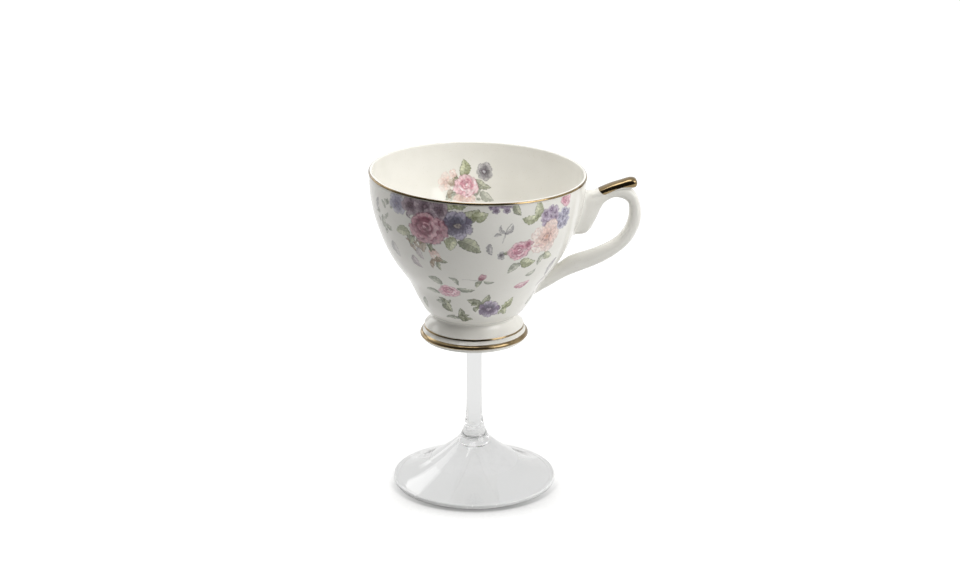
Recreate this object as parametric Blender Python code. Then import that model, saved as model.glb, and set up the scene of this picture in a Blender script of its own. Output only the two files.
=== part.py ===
"""Dessert coupe: a handled porcelain cup bonded to a clear glass stem and foot.

Sizes are in millimetres and become metres in the scene. +Z is up, the table is at z = 0, and the
handle points along +X. The glass and the porcelain foot stand plumb; the bowl with its handle
leans a little towards the handle.
"""

import math

import bmesh
import bpy
from mathutils import Vector

MM = 0.001

# Heights of the whole
SEAT_HEIGHT = 76.0  # plane where the bowl is luted onto its porcelain foot
BOWL_HEIGHT = 61.5  # lip above that plane
BOWL_LEAN = 1.5  # degrees out of true, towards the handle

# Porcelain bowl
RIM_RADIUS = 45.0
WAIST_RADIUS = 17.5
KNEE_RADIUS = 29.4  # where the upper wall turns into the small swelling at the base
KNEE_HEIGHT = 17.4
KNEE_SLOPE = 44.0  # degrees from level
UPPER_RIM_PULL = 19.5
UPPER_KNEE_PULL = 8.4
LOWER_KNEE_PULL = 5.0
LOWER_WAIST_PULL = 6.9
LOWER_WAIST_SLOPE = 19.4
BOWL_WALL = 2.3
BOWL_FLOOR = 3.4

# Porcelain foot
CUP_FOOT_DEPTH = 11.0  # seat plane down to its lowest edge
CUP_FOOT_RADIUS = 22.3
CUP_FOOT_EDGE_HEIGHT = 2.2  # widest edge above its lowest edge
SHOULDER_RADIUS = 20.8
LINE_HEIGHT = 5.3  # middle of the thin gold line above the lowest edge
LINE_MARGIN = 0.6  # upright land left above and below that line
CUP_FOOT_BEARING = 2.2
TOE_ROUND = 1.0
CUP_FOOT_ROOF = 3.4
RECESS_RADIUS = 14.6
RECESS_ROUND = 0.6

# Gilding, laid flush with the glaze
GILDING = 0.35
RIM_BAND = 1.3
LINE_BAND = 0.8
EDGE_BAND = 2.1

# Handle, in the plane of the bowl's axis, measured from the wall at the root and at the tail
ROOT_DROP = 16.5  # root below the lip
TAIL_HEIGHT = 17.0
ROOT_OUTER = [(-4.0, 7.0), (2.6, 9.0), (6.7, 10.0), (11.5, 10.5), (16.3, 11.2), (19.6, 11.0), (22.4, 9.0)]
LOOP_OUTER = [(24.3, 5.0), (25.2, 0.0), (24.3, -6.1), (19.9, -13.9), (10.3, -21.3)]
ROOT_INNER = [(-5.0, -9.6), (2.4, -9.0), (6.1, -3.4), (9.0, 3.7), (13.0, 6.7), (17.0, 6.5), (19.6, 4.6)]
LOOP_INNER = [(20.1, 1.2), (19.8, -2.5), (18.2, -6.8), (14.3, -11.5), (6.6, -15.7)]
TAIL_OUTER = [(9.5, 0.0), (2.1, -4.6), (-6.0, -9.6)]
TAIL_INNER = [(10.4, 8.6), (5.4, 5.0), (-2.4, 0.6)]
ROOT_THICKNESS = 9.0
LOOP_THICKNESS = 5.8
TAIL_THICKNESS = 6.4
SECTION_POWER = 2.6

# Thumb rest on the handle, measured from the wall at the root
REST_TOP = [(4.0, 8.8), (7.9, 10.8), (12.0, 12.7), (16.0, 14.1), (19.6, 15.3), (21.9, 15.1), (22.9, 13.8)]
REST_UNDER = [(5.0, 5.5), (9.3, 7.4), (13.6, 8.9), (17.6, 10.1), (20.6, 10.8), (22.4, 11.6), (23.0, 13.0)]
REST_THICKNESS = 6.0
GILDED_EDGE = [(6.4, 11.1), (7.8, 9.5), (9.5, 8.5), (12.2, 9.7), (15.0, 11.1), (18.0, 11.8), (25.0, 11.8)]
GILDED_REACH = 20.0  # how far the gilded zone is drawn past the handle

# Glass stem
STEM_RADIUS = 3.3
STEM_FLARE_TOP = 36.0
STEM_HEAD_RADIUS = 8.5
STEM_HEAD_EDGE = 1.6
STEM_HEAD_FLARE = 8.0
STEM_HEAD_ROUND = 0.4
BOND_SPACE = 2.0  # stem head to the roof of the porcelain foot

# Glass foot
GLASS_FOOT_RADIUS = 34.7
GLASS_FOOT_EDGE = 1.65  # height of its widest edge
GLASS_FOOT_FLAT = 1.8  # width of the flat ring it rests on
GLASS_FOOT_DISH = 162.3  # degrees, how flat the upper side meets the rim
GLASS_WALL = 2.2
FUSE_RADIUS = 6.5
FUSE_HEIGHT = 19.2  # where stem and foot are fused
HOLLOW_HEIGHT = 13.0  # crown of the hollow under the foot

# Fits and mesh fineness
GAP = 0.3
END_GAP = 0.4  # at the edges of an inlaid band
SEGMENTS = 48
STEM_SEGMENTS = 32
SECTION_POINTS = 16
SPAN_STEPS = 4


def bezier(start, pull_a, pull_b, end, steps):
    """Points along one cubic arc, without its first point."""
    points = []
    for index in range(1, steps + 1):
        t = index / steps
        u = 1 - t
        points.append(start * u**3 + pull_a * (3 * u * u * t) + pull_b * (3 * u * t * t) + end * t**3)
    return points


def polar(length, degrees):
    angle = math.radians(degrees)
    return Vector((length * math.cos(angle), length * math.sin(angle)))


def arc(centre, radius, start, end, steps):
    """Points of a circular arc, angles in degrees, ends included."""
    return [centre + polar(radius, start + (end - start) * i / steps) for i in range(steps + 1)]


def normals(line):
    """Unit normals on the left of a line, which is outside a profile that runs down its outer side."""
    result = []
    for index in range(len(line)):
        before = line[max(index - 1, 0)]
        after = line[min(index + 1, len(line) - 1)]
        along = (after - before).normalized()
        result.append(Vector((-along.y, along.x)))
    return result


def inset(line, depth):
    return [point - normal * depth for point, normal in zip(line, normals(line))]


def lengths(line):
    total = [0.0]
    for a, b in zip(line, line[1:]):
        total.append(total[-1] + (b - a).length)
    return total


def blend_at(line, values, along):
    """The value that belongs to a length along a line, from one value at each of its points."""
    total = lengths(line)
    for index in range(len(line) - 1):
        if along <= total[index + 1]:
            share = (along - total[index]) / (total[index + 1] - total[index])
            return values[index].lerp(values[index + 1], share)
    return values[-1].copy()


def sunk(line, start, end, depth):
    """The part of a line between two lengths along it, set back by a depth."""
    inner = [along for along in lengths(line) if start + 0.02 < along < end - 0.02]
    facing = normals(line)
    stops = [start] + inner + [end]
    spots = [blend_at(line, line, stop) for stop in stops]
    return [spot - blend_at(line, facing, stop) * depth for spot, stop in zip(spots, stops)]


def inlay(line, start, end):
    """Host line with a groove from start to end, and the closed outline of the band that fills it."""
    first, last = start - END_GAP, end + END_GAP
    host = sunk(line, 0.0, first, 0.0) + sunk(line, first, last, GILDING + GAP)
    host += sunk(line, last, lengths(line)[-1], 0.0)
    band = sunk(line, start, end, 0.0) + list(reversed(sunk(line, start, end, GILDING)))
    return host, band


def along_at_height(line, height):
    """Length along a falling line where it reaches a height."""
    total = lengths(line)
    for index in range(len(line) - 1):
        upper, lower = line[index].y, line[index + 1].y
        if upper >= height > lower:
            return total[index] + (total[index + 1] - total[index]) * (upper - height) / (upper - lower)
    return total[-1]


def material(name, colour, roughness, metallic):
    made = bpy.data.materials.new(name)
    made.use_nodes = True
    shader = made.node_tree.nodes["Principled BSDF"]
    shader.inputs["Base Color"].default_value = (*colour, 1.0)
    shader.inputs["Roughness"].default_value = roughness
    shader.inputs["Metallic"].default_value = metallic
    return made


def porcelain(name):
    return material(name, (0.88, 0.87, 0.84), 0.12, 0.0)


def gold(name):
    return material(name, (0.80, 0.56, 0.24), 0.15, 1.0)


def clear(name, tint):
    return material(name, tint, 0.04, 0.0)


def new_object(name, mesh, parent, look=None):
    made = bpy.data.objects.new(name, mesh)
    bpy.context.scene.collection.objects.link(made)
    made.parent = parent
    if look:
        mesh.materials.append(look)
    else:
        made.hide_render = True
        made.display_type = "WIRE"
    return made


def turned(name, outline, parent, look=None, closed=False, segments=SEGMENTS):
    """A solid of revolution from an outline of (radius, height) points."""
    mesh = bpy.data.meshes.new(name)
    work = bmesh.new()
    verts = [work.verts.new((p.x * MM, 0.0, p.y * MM)) for p in outline]
    for a, b in zip(verts, verts[1:]):
        work.edges.new((a, b))
    if closed:
        work.edges.new((verts[-1], verts[0]))
    work.to_mesh(mesh)
    work.free()
    made = new_object(name, mesh, parent, look)
    screw = made.modifiers.new("turn", "SCREW")
    screw.steps = segments
    screw.render_steps = segments
    screw.use_merge_vertices = True
    screw.merge_threshold = 0.00001
    screw.use_smooth_shade = True
    return made


def boolean(target, operation, other):
    cut = target.modifiers.new(operation.lower(), "BOOLEAN")
    cut.operation = operation
    cut.solver = "EXACT"
    cut.object = other
    return cut


def smooth_line(points, steps):
    """A smooth line through the points, with evenly many steps in each span."""
    line = []
    for index in range(len(points) - 1):
        p0 = points[max(index - 1, 0)]
        p1 = points[index]
        p2 = points[index + 1]
        p3 = points[min(index + 2, len(points) - 1)]
        pull = (p2 - p0) / 6, (p3 - p1) / 6
        line += [p1.copy()] if index == 0 else []
        line += bezier(p1, p1 + pull[0], p2 - pull[1], p2, steps)
    return line


def lofted(name, outer, inner, halves, shrink, parent, look=None):
    """A closed bar between two rails in the XZ plane, with rounded sections of given half thickness."""
    mesh = bpy.data.meshes.new(name)
    work = bmesh.new()
    rings = []
    for high, low, half in zip(outer, inner, halves):
        centre = (high + low) / 2
        reach = (high - low) / 2
        reach = reach * max(1 - shrink / reach.length, 0.2)
        deep = max(half - shrink, 0.2 * half)
        ring = []
        for index in range(SECTION_POINTS):
            turn = 2 * math.pi * index / SECTION_POINTS
            c, s = math.cos(turn), math.sin(turn)
            a = math.copysign(abs(c) ** (2 / SECTION_POWER), c)
            b = math.copysign(abs(s) ** (2 / SECTION_POWER), s)
            spot = centre + reach * a
            ring.append(work.verts.new((spot.x * MM, deep * b * MM, spot.y * MM)))
        rings.append(ring)
    for first, second in zip(rings, rings[1:]):
        for index in range(SECTION_POINTS):
            follow = (index + 1) % SECTION_POINTS
            work.faces.new((first[index], first[follow], second[follow], second[index]))
    work.faces.new(rings[0])
    work.faces.new(rings[-1])
    bmesh.ops.recalc_face_normals(work, faces=work.faces)
    for face in work.faces:
        face.smooth = True
    work.to_mesh(mesh)
    work.free()
    return new_object(name, mesh, parent, look)


def prism(name, outline, half, parent):
    """A flat slab with the given outline in the XZ plane, half as thick to each side."""
    mesh = bpy.data.meshes.new(name)
    work = bmesh.new()
    front = work.faces.new([work.verts.new((p.x * MM, -half * MM, p.y * MM)) for p in outline])
    raised = bmesh.ops.extrude_face_region(work, geom=[front])
    moved = [item for item in raised["geom"] if isinstance(item, bmesh.types.BMVert)]
    bmesh.ops.translate(work, verts=moved, vec=(0.0, 2 * half * MM, 0.0))
    bmesh.ops.recalc_face_normals(work, faces=work.faces)
    work.to_mesh(mesh)
    work.free()
    return new_object(name, mesh, parent)


def bowl_outer_line():
    """Outer side of the bowl from the lip's crown to the seat, in the bowl's own heights."""
    lip = BOWL_WALL / 2
    crown = Vector((RIM_RADIUS - lip, BOWL_HEIGHT - lip))
    knee = Vector((KNEE_RADIUS, KNEE_HEIGHT))
    waist = Vector((WAIST_RADIUS, 0.0))
    rim = Vector((RIM_RADIUS, BOWL_HEIGHT - lip))
    slope = polar(1.0, KNEE_SLOPE)
    line = arc(crown, lip, 90, 0, 4)
    line.append(rim - Vector((0.0, RIM_BAND - lip)))
    top = line[-1]
    line += bezier(top, top - Vector((0.0, UPPER_RIM_PULL)), knee + slope * UPPER_KNEE_PULL, knee, 12)
    low_pull = waist + polar(LOWER_WAIST_PULL, LOWER_WAIST_SLOPE)
    line += bezier(knee, knee - slope * LOWER_KNEE_PULL, low_pull, waist, 7)
    return line


def wall_radius(line, height):
    for upper, lower in zip(line[4:], line[5:]):
        if upper.y >= height >= lower.y:
            return lower.x + (upper.x - lower.x) * (height - lower.y) / (upper.y - lower.y)
    return line[-1].x


def bowl_inner_line(outer):
    """Inner side from the middle of the floor up to the lip's crown."""
    lip = BOWL_WALL / 2
    wall = [p for p in inset(outer, BOWL_WALL)[6:] if p.y > KNEE_HEIGHT + BOWL_WALL]
    wall.reverse()
    turn = wall[0]
    centre = Vector((0.0, BOWL_FLOOR))
    rise = (wall[1] - wall[0]).normalized()
    floor = [centre]
    floor += bezier(centre, Vector((turn.x * 0.62, BOWL_FLOOR)), turn - rise * (turn.x * 0.4), turn, 9)
    crown = Vector((RIM_RADIUS - lip, BOWL_HEIGHT - lip))
    return floor + wall[1:] + arc(crown, lip, 180, 90, 4)


def build_bowl(parent):
    outer = bowl_outer_line()
    inner = bowl_inner_line(outer)
    whole = inner + outer[1:]
    crown_at = lengths(inner)[-1]
    lip_arc = math.pi / 2 * BOWL_WALL / 2
    down = crown_at + lip_arc + RIM_BAND - BOWL_WALL / 2
    host, band = inlay(whole, crown_at, down)
    skirt = [Vector((WAIST_RADIUS, -2 * GAP - WAIST_RADIUS * math.sin(math.radians(BOWL_LEAN))))]
    host += skirt + [Vector((0.0, skirt[0].y))]
    bowl = turned("cup_bowl", host, parent, porcelain("bowl_porcelain"))
    turned("rim_gilding", band, parent, gold("rim_gold"), closed=True)
    return bowl, outer


def build_handle(parent, outer):
    root_height = BOWL_HEIGHT - ROOT_DROP
    root = Vector((wall_radius(outer, root_height), root_height))
    tail = Vector((wall_radius(outer, TAIL_HEIGHT), TAIL_HEIGHT))

    def rail(near_root, loop, near_tail):
        points = [root + Vector(p) for p in near_root + loop] + [tail + Vector(p) for p in near_tail]
        return smooth_line(points, SPAN_STEPS)

    high = rail(ROOT_OUTER, LOOP_OUTER, TAIL_OUTER)
    low = rail(ROOT_INNER, LOOP_INNER, TAIL_INNER)
    halves = []
    for index in range(len(high)):
        share = index / (len(high) - 1)
        root_part = max(1 - share / 0.3, 0.0) ** 2
        tail_part = max((share - 0.7) / 0.3, 0.0) ** 2
        extra = root_part * (ROOT_THICKNESS - LOOP_THICKNESS)
        extra += tail_part * (TAIL_THICKNESS - LOOP_THICKNESS)
        halves.append((LOOP_THICKNESS + extra) / 2)
    rest_high = smooth_line([root + Vector(p) for p in REST_TOP], SPAN_STEPS)
    rest_low = smooth_line([root + Vector(p) for p in REST_UNDER], SPAN_STEPS)

    def bar(name, shrink, look=None):
        return lofted(name, high, low, halves, shrink, parent, look)

    def rest(name, shrink):
        start = (rest_high[0] + rest_low[0]) / 2
        axis = ((rest_high[-1] + rest_low[-1]) / 2 - start).normalized()
        shares = [index / (len(rest_high) - 1) for index in range(len(rest_high))]
        upper = [p - axis * (share * shrink) for p, share in zip(rest_high, shares)]
        lower = [p - axis * (share * shrink) for p, share in zip(rest_low, shares)]
        deep = [REST_THICKNESS / 2 * math.sqrt(max(1 - share**6, 0.05)) for share in shares]
        return lofted(name, upper, lower, deep, shrink, parent)

    def zone(name, setback):
        edge = [root + Vector(p) for p in GILDED_EDGE]
        edge = [p + normal * setback for p, normal in zip(edge, normals(edge))]
        top = root.y + GILDED_REACH
        edge += [Vector((edge[-1].x, top)), Vector((edge[0].x, top))]
        return prism(name, edge, GILDED_REACH, parent)

    envelope = inset(outer, -GAP)
    cap = Vector((0.0, envelope[0].y + BOWL_WALL))
    envelope = [cap, Vector((envelope[0].x, cap.y))] + envelope
    envelope += [Vector((WAIST_RADIUS + GAP, -BOWL_FLOOR)), Vector((0.0, -BOWL_FLOOR))]
    wall = turned("wall_cutter", envelope, parent)

    handle = bar("cup_handle", 0.0, porcelain("handle_porcelain"))
    boolean(handle, "UNION", rest("rest_full", 0.0))
    boolean(handle, "DIFFERENCE", zone("gilded_zone", 0.0))
    boolean(handle, "UNION", bar("loop_core", GILDING + GAP))
    boolean(handle, "UNION", rest("rest_core", GILDING + GAP))
    boolean(handle, "DIFFERENCE", wall)

    cover = bar("handle_gilding", 0.0, gold("handle_gold"))
    boolean(cover, "UNION", rest("rest_cover", 0.0))
    boolean(cover, "INTERSECT", zone("gilded_inner_zone", GAP))
    boolean(cover, "DIFFERENCE", bar("loop_lining", GILDING))
    boolean(cover, "DIFFERENCE", rest("rest_lining", GILDING))


def build_cup_foot(parent):
    base = SEAT_HEIGHT - CUP_FOOT_DEPTH
    seat = Vector((WAIST_RADIUS, SEAT_HEIGHT))
    middle = Vector((SHOULDER_RADIUS, base + LINE_HEIGHT))
    shoulder = middle + Vector((0.0, LINE_BAND / 2 + LINE_MARGIN))
    line_end = middle - Vector((0.0, LINE_BAND / 2 + LINE_MARGIN))
    edge = Vector((CUP_FOOT_RADIUS, base + CUP_FOOT_EDGE_HEIGHT))
    toe = Vector((CUP_FOOT_RADIUS - TOE_ROUND / 2, base + TOE_ROUND / 2.5))
    sole = Vector((CUP_FOOT_RADIUS - TOE_ROUND, base))
    rise = SEAT_HEIGHT - shoulder.y
    outer = [seat]
    outer += bezier(seat, seat - Vector((0.0, rise * 0.45)), shoulder + Vector((-1.2, 1.3)), shoulder, 6)
    outer.append(line_end)
    outer += bezier(line_end, line_end + Vector((0.5, -0.6)), edge + Vector((0.0, 0.8)), edge, 5)
    outer += bezier(edge, edge - Vector((0.0, 0.8)), toe + Vector((0.1, 0.5)), toe, 3)
    outer.append(sole)
    line_at = along_at_height(outer, middle.y)
    edge_at = along_at_height(outer, edge.y)
    grooved, edge_band = inlay(outer, edge_at - EDGE_BAND / 2, edge_at + EDGE_BAND / 2)
    grooved, line_band = inlay(grooved, line_at - LINE_BAND / 2, line_at + LINE_BAND / 2)
    inside = Vector((sole.x - CUP_FOOT_BEARING, base))
    roof = Vector((RECESS_RADIUS, SEAT_HEIGHT - CUP_FOOT_ROOF))
    recess = [inside]
    corner = roof - Vector((0.0, RECESS_ROUND))
    recess += bezier(inside, inside + Vector((-0.6, 2.5)), corner + Vector((0.4, -1.4)), corner, 5)
    recess += [roof - Vector((RECESS_ROUND, 0.0)), Vector((0.0, roof.y))]
    outline = [Vector((0.0, SEAT_HEIGHT))] + grooved + recess
    turned("cup_foot", outline, parent, porcelain("foot_porcelain"))
    turned("foot_line_gilding", line_band, parent, gold("line_gold"), closed=True)
    turned("foot_edge_gilding", edge_band, parent, gold("edge_gold"), closed=True)


def build_glass(parent):
    head_top = SEAT_HEIGHT - CUP_FOOT_ROOF - BOND_SPACE
    head = Vector((STEM_HEAD_RADIUS, head_top - STEM_HEAD_EDGE))
    neck = Vector((STEM_RADIUS, head.y - STEM_HEAD_FLARE))
    flare_top = Vector((STEM_RADIUS, STEM_FLARE_TOP))
    fuse = Vector((FUSE_RADIUS, FUSE_HEIGHT))
    drop = STEM_FLARE_TOP - FUSE_HEIGHT
    slope = polar(1.0, 128.3)
    stem = [Vector((0.0, head_top)), Vector((head.x - STEM_HEAD_ROUND, head_top))]
    stem += [Vector((head.x, head_top - STEM_HEAD_ROUND)), head]
    stem += bezier(head, head + Vector((-3.2, -1.2)), neck + Vector((0.0, 4.0)), neck, 6)
    stem.append(flare_top)
    stem += bezier(flare_top, flare_top - Vector((0.0, drop * 0.62)), fuse + slope * 2.6, fuse, 8)
    stem.append(Vector((0.0, FUSE_HEIGHT)))
    look = clear("stem_glass", (0.93, 0.96, 0.96))
    turned("glass_stem", stem, parent, look, segments=STEM_SEGMENTS)

    low, high = head_top + GAP, head_top + BOND_SPACE - GAP
    pad = [Vector((0.0, high)), Vector((STEM_HEAD_RADIUS - STEM_HEAD_ROUND, high))]
    pad += [Vector((STEM_HEAD_RADIUS, (low + high) / 2)), Vector((STEM_HEAD_RADIUS - STEM_HEAD_ROUND, low))]
    pad.append(Vector((0.0, low)))
    bond = clear("clear_adhesive", (0.90, 0.90, 0.86))
    turned("stem_adhesive", pad, parent, bond, segments=STEM_SEGMENTS)

    top = Vector((FUSE_RADIUS, FUSE_HEIGHT - GAP))
    rim = Vector((GLASS_FOOT_RADIUS, GLASS_FOOT_EDGE))
    dish = polar(1.0, GLASS_FOOT_DISH)
    upper = [top] + bezier(top, top - slope * 3.35, rim + dish * 14.7, rim + dish * 0.5, 14)
    under = inset(upper, GLASS_WALL)
    crown = Vector((0.0, HOLLOW_HEIGHT))
    flat_outer = Vector((GLASS_FOOT_RADIUS - 0.7, 0.0))
    flat_inner = Vector((flat_outer.x - GLASS_FOOT_FLAT, 0.0))
    hollow = [p for p in under if 0.4 < p.y < HOLLOW_HEIGHT - 1.5 * GLASS_WALL and p.x < flat_inner.x - 1.0]
    hollow.reverse()
    last = hollow[-1]
    lead = (hollow[-1] - hollow[-2]).normalized()
    rounded = [rim + Vector((0.1, -0.2)), Vector((GLASS_FOOT_RADIUS, 0.7)), flat_outer]
    foot = [Vector((0.0, top.y))] + upper + rounded + [flat_inner] + hollow
    foot += bezier(last, last + lead * 4.0, crown + Vector((last.x * 0.55, 0.0)), crown, 6)
    turned("glass_foot", foot, parent, clear("foot_glass", (0.93, 0.96, 0.96)))


def span_x(objects):
    """Least and greatest X of the finished solids, in metres."""
    bpy.context.view_layer.update()
    graph = bpy.context.evaluated_depsgraph_get()
    found = []
    for item in objects:
        seen = item.evaluated_get(graph)
        found += [(seen.matrix_world @ v.co).x for v in seen.to_mesh().vertices]
        seen.to_mesh_clear()
    return min(found), max(found)


def main():
    for item in list(bpy.data.objects):
        bpy.data.objects.remove(item)
    datum = bpy.data.objects.new("datum", None)
    lean = bpy.data.objects.new("bowl_lean", None)
    for item in (datum, lean):
        bpy.context.scene.collection.objects.link(item)
    lean.parent = datum
    lean.location = (0.0, 0.0, SEAT_HEIGHT * MM)
    lean.rotation_euler = (0.0, math.radians(BOWL_LEAN), 0.0)

    bowl, outer = build_bowl(lean)
    build_handle(lean, outer)
    build_cup_foot(datum)
    build_glass(datum)

    wide = 2 * WAIST_RADIUS
    below = [Vector((-wide, SEAT_HEIGHT + GAP)), Vector((wide, SEAT_HEIGHT + GAP))]
    below += [Vector((wide, SEAT_HEIGHT - wide)), Vector((-wide, SEAT_HEIGHT - wide))]
    boolean(bowl, "DIFFERENCE", prism("seat_cutter", below, wide, datum))

    solids = [item for item in bpy.data.objects if item.type == "MESH" and not item.hide_render]
    datum.location.x = -sum(span_x(solids)) / 2


main()
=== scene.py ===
"""Dessert coupe: a printed and gilded porcelain cup on a clear glass stem and foot.

Lengths are in millimetres until a mesh is made, and the studio is in metres. The bowl is drawn in its own
frame, round its axis with heights above the seat plane, and then leans a little towards the handle.
Angles round the bowl are 0 in front and grow to the right, so the handle is at 90 degrees.
"""

import math

import bpy
import numpy as np
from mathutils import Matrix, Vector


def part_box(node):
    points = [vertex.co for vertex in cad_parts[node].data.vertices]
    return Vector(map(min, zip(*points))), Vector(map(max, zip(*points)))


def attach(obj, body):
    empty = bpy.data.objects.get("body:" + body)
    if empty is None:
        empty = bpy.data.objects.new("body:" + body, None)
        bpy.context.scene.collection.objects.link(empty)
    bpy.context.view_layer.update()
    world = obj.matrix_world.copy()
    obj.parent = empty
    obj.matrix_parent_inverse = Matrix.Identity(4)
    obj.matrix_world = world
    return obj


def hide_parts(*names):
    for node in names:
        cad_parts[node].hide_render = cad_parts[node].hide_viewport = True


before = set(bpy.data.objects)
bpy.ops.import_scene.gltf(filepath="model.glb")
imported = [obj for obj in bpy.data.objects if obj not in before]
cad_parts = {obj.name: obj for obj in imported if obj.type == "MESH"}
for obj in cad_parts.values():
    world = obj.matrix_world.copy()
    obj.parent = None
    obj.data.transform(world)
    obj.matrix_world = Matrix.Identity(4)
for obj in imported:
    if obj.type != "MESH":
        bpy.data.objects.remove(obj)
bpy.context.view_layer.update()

MM = 0.001
CREASE, SOFT_CREASE = 40, 50  # faces that meet at more degrees than this stay sharp
FOOT_LOW, FOOT_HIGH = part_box("glass_foot")
AXIS_X = (FOOT_LOW.x + FOOT_HIGH.x) / 2 / MM
SEAT = 76.0
LEAN = math.radians(1.5)

# Bowl
RIM_RADIUS = 45.0
BOWL_HEIGHT = 61.5
WALL = 2.3
LIP = 0.6  # radius of the thinned lip
THIN_FROM, THIN_OVER = 47, 14  # height where the wall starts to thin, and the rise in which it does
FLOOR = 3.4
WAIST_RADIUS = 17.5
WAIST_FILLET = 1.3
WAIST_SLOPE = 19.4  # degrees
KNEE_HEIGHT = 17.4
FLOW_POINTS, FLOW_ROUNDS = 130, 160  # how finely and how often the wall's curve is evened out

# Porcelain foot
FOOT_BASE = 65.0
FOOT_RADIUS = 22.3
SHOULDER = 20.8
LINE_HEIGHT = 70.3
EDGE_HEIGHT = 67.2
FOOT_ROOF = 72.6  # of the hollow under the cup
FOOT_BANDS = [  # piece, node, height on the foot, how far it goes up and down from there, seed, bead
    ("foot_line_gold", "foot_line_gilding", LINE_HEIGHT, 0.4, 0.4, 11, 0.32),
    ("foot_edge_gold", "foot_edge_gilding", EDGE_HEIGHT, 1.35, 0.6, 17, 0.6),
]

# Glass
FUSE_HEIGHT = 19.2
FUSE_RADIUS = 6.5
GLASS_RADIUS = 34.7
GLASS_WALL = 2.2
CROWN_HEIGHT = 15.4  # of the hollow under the foot
STEM_RADIUS = 3.3
STEM_HEAD = 8.5
HEAD_TOP = FOOT_ROOF - 2.0  # the adhesive lies between the two

# Gold film
FILM = 0.05
FILM_ROWS = 10
FILM_ROOT = 0.12  # how deep its inner side lies in the glaze
EDGE_DRIFT = 0.07
CAP_FILM = 0.06

# Flower print
PRINT_STEP = 0.22
PRINT_LIFT = 0.02
DEGREES = 57.3  # in one radian


def spot(*values):
    return np.array(values, float)


def polar(length, degrees):
    turn = math.radians(degrees)
    return length * spot(math.cos(turn), math.sin(turn))


def curve(a, b, c, d, steps):
    """A cubic arc without its first point."""
    t = np.linspace(0, 1, steps + 1)[1:, None]
    u = 1 - t
    return u**3 * a + 3 * u * u * t * b + 3 * u * t * t * c + t**3 * d


def chain(*parts):
    """One line made of points and other lines."""
    return np.concatenate([np.atleast_2d(part) for part in parts])


def arc(centre, radius, start, end, steps):
    turns = np.radians(np.linspace(start, end, steps + 1))
    return centre + radius * np.stack([np.cos(turns), np.sin(turns)], -1)


def lengths(line):
    return np.concatenate([[0.0], np.cumsum(np.linalg.norm(np.diff(line, axis=0), axis=1))])


def outward(line):
    """Unit normals on the left of a line that runs down its outer side."""
    along = np.gradient(line, axis=0)
    along /= np.linalg.norm(along, axis=1)[:, None]
    return np.stack([-along[:, 1], along[:, 0]], -1)


def at_length(line, where, values=None):
    """A line's points, or other values along it, at some lengths."""
    values = line if values is None else values
    total = lengths(line)
    return np.stack([np.interp(where, total, values[:, i]) for i in range(values.shape[1])], -1)


def ease(value):
    value = np.clip(value, 0, 1)
    return value * value * (3 - 2 * value)


def leaned(points):
    """Bowl points to the row frame; the lean fades out at the seat."""
    x, y, h = points[..., 0], points[..., 1], points[..., 2]
    turn = LEAN * ease((h + 1) / 6)
    c, s = np.cos(turn), np.sin(turn)
    return np.stack([AXIS_X + x * c + h * s, y, SEAT - x * s + h * c], -1)


def plumb(points):
    return points + spot(AXIS_X, 0, 0)


def smooth_line(points, steps):
    points = [spot(*p) for p in points]
    line = points[:1]
    for index in range(len(points) - 1):
        p0 = points[max(index - 1, 0)]
        p1, p2 = points[index], points[index + 1]
        p3 = points[min(index + 2, len(points) - 1)]
        line.append(curve(p1, p1 + (p2 - p0) / 6, p2 - (p3 - p1) / 6, p2, steps))
    return chain(*line)


def put(name, data):
    thing = bpy.data.objects.new(name, data)
    bpy.context.scene.collection.objects.link(thing)
    return thing


def make_piece(name, vertices, faces, look, uv=None, crease=CREASE):
    mesh = bpy.data.meshes.new(name)
    mesh.from_pydata((np.asarray(vertices) * MM).tolist(), [], faces)
    mesh.validate()
    if uv is not None:
        layer = mesh.uv_layers.new(name="OFBake")
        layer.data.foreach_set("uv", np.asarray(uv, np.float32).ravel())
    mesh.shade_smooth()
    mesh.set_sharp_from_angle(angle=math.radians(crease))
    if look is not None:
        mesh.materials.append(look)
    return put(name, mesh)


def full_turn(count):
    return 2 * math.pi * np.arange(count) / count


def around(radius, height, turns):
    return np.stack([radius * np.sin(turns), -radius * np.cos(turns), height + 0 * turns], -1)


def turned(name, line, segments, look, place):
    """A lathe-turned piece from a line that starts and ends on the axis."""
    rows, vertices = [], []
    total = lengths(line)
    for radius, height in line:
        start = sum(len(ring) for ring in vertices)
        count = segments if radius > 1e-6 else 1
        vertices.append(around(radius, height, full_turn(count)))
        rows.append([start + j % count for j in range(segments + 1)])
    faces, uv = [], []
    for a in range(len(rows) - 1):
        for j in range(segments):
            corners = {}
            for row, column in ((a, j), (a + 1, j), (a + 1, j + 1), (a, j + 1)):
                corners.setdefault(rows[row][column], (column / segments, total[row] / total[-1]))
            if len(corners) > 2:
                faces.append(list(corners))
                uv += corners.values()
    return make_piece(name, place(np.concatenate(vertices)), faces, look, uv)


def flowing(line, high, low):
    """Evens out the change of curvature between two heights of a line that runs down."""
    above, below = line[line[:, 1] >= high], line[line[:, 1] <= low]
    span = chain(above[-1], line[(line[:, 1] < high) & (line[:, 1] > low)], below[0])
    span = at_length(span, np.linspace(0, lengths(span)[-1], FLOW_POINTS))
    for _ in range(FLOW_ROUNDS):
        span[1:-1] = (span[:-2] + 2 * span[1:-1] + span[2:]) / 4
    return chain(above[:-1], span, below[1:])


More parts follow.
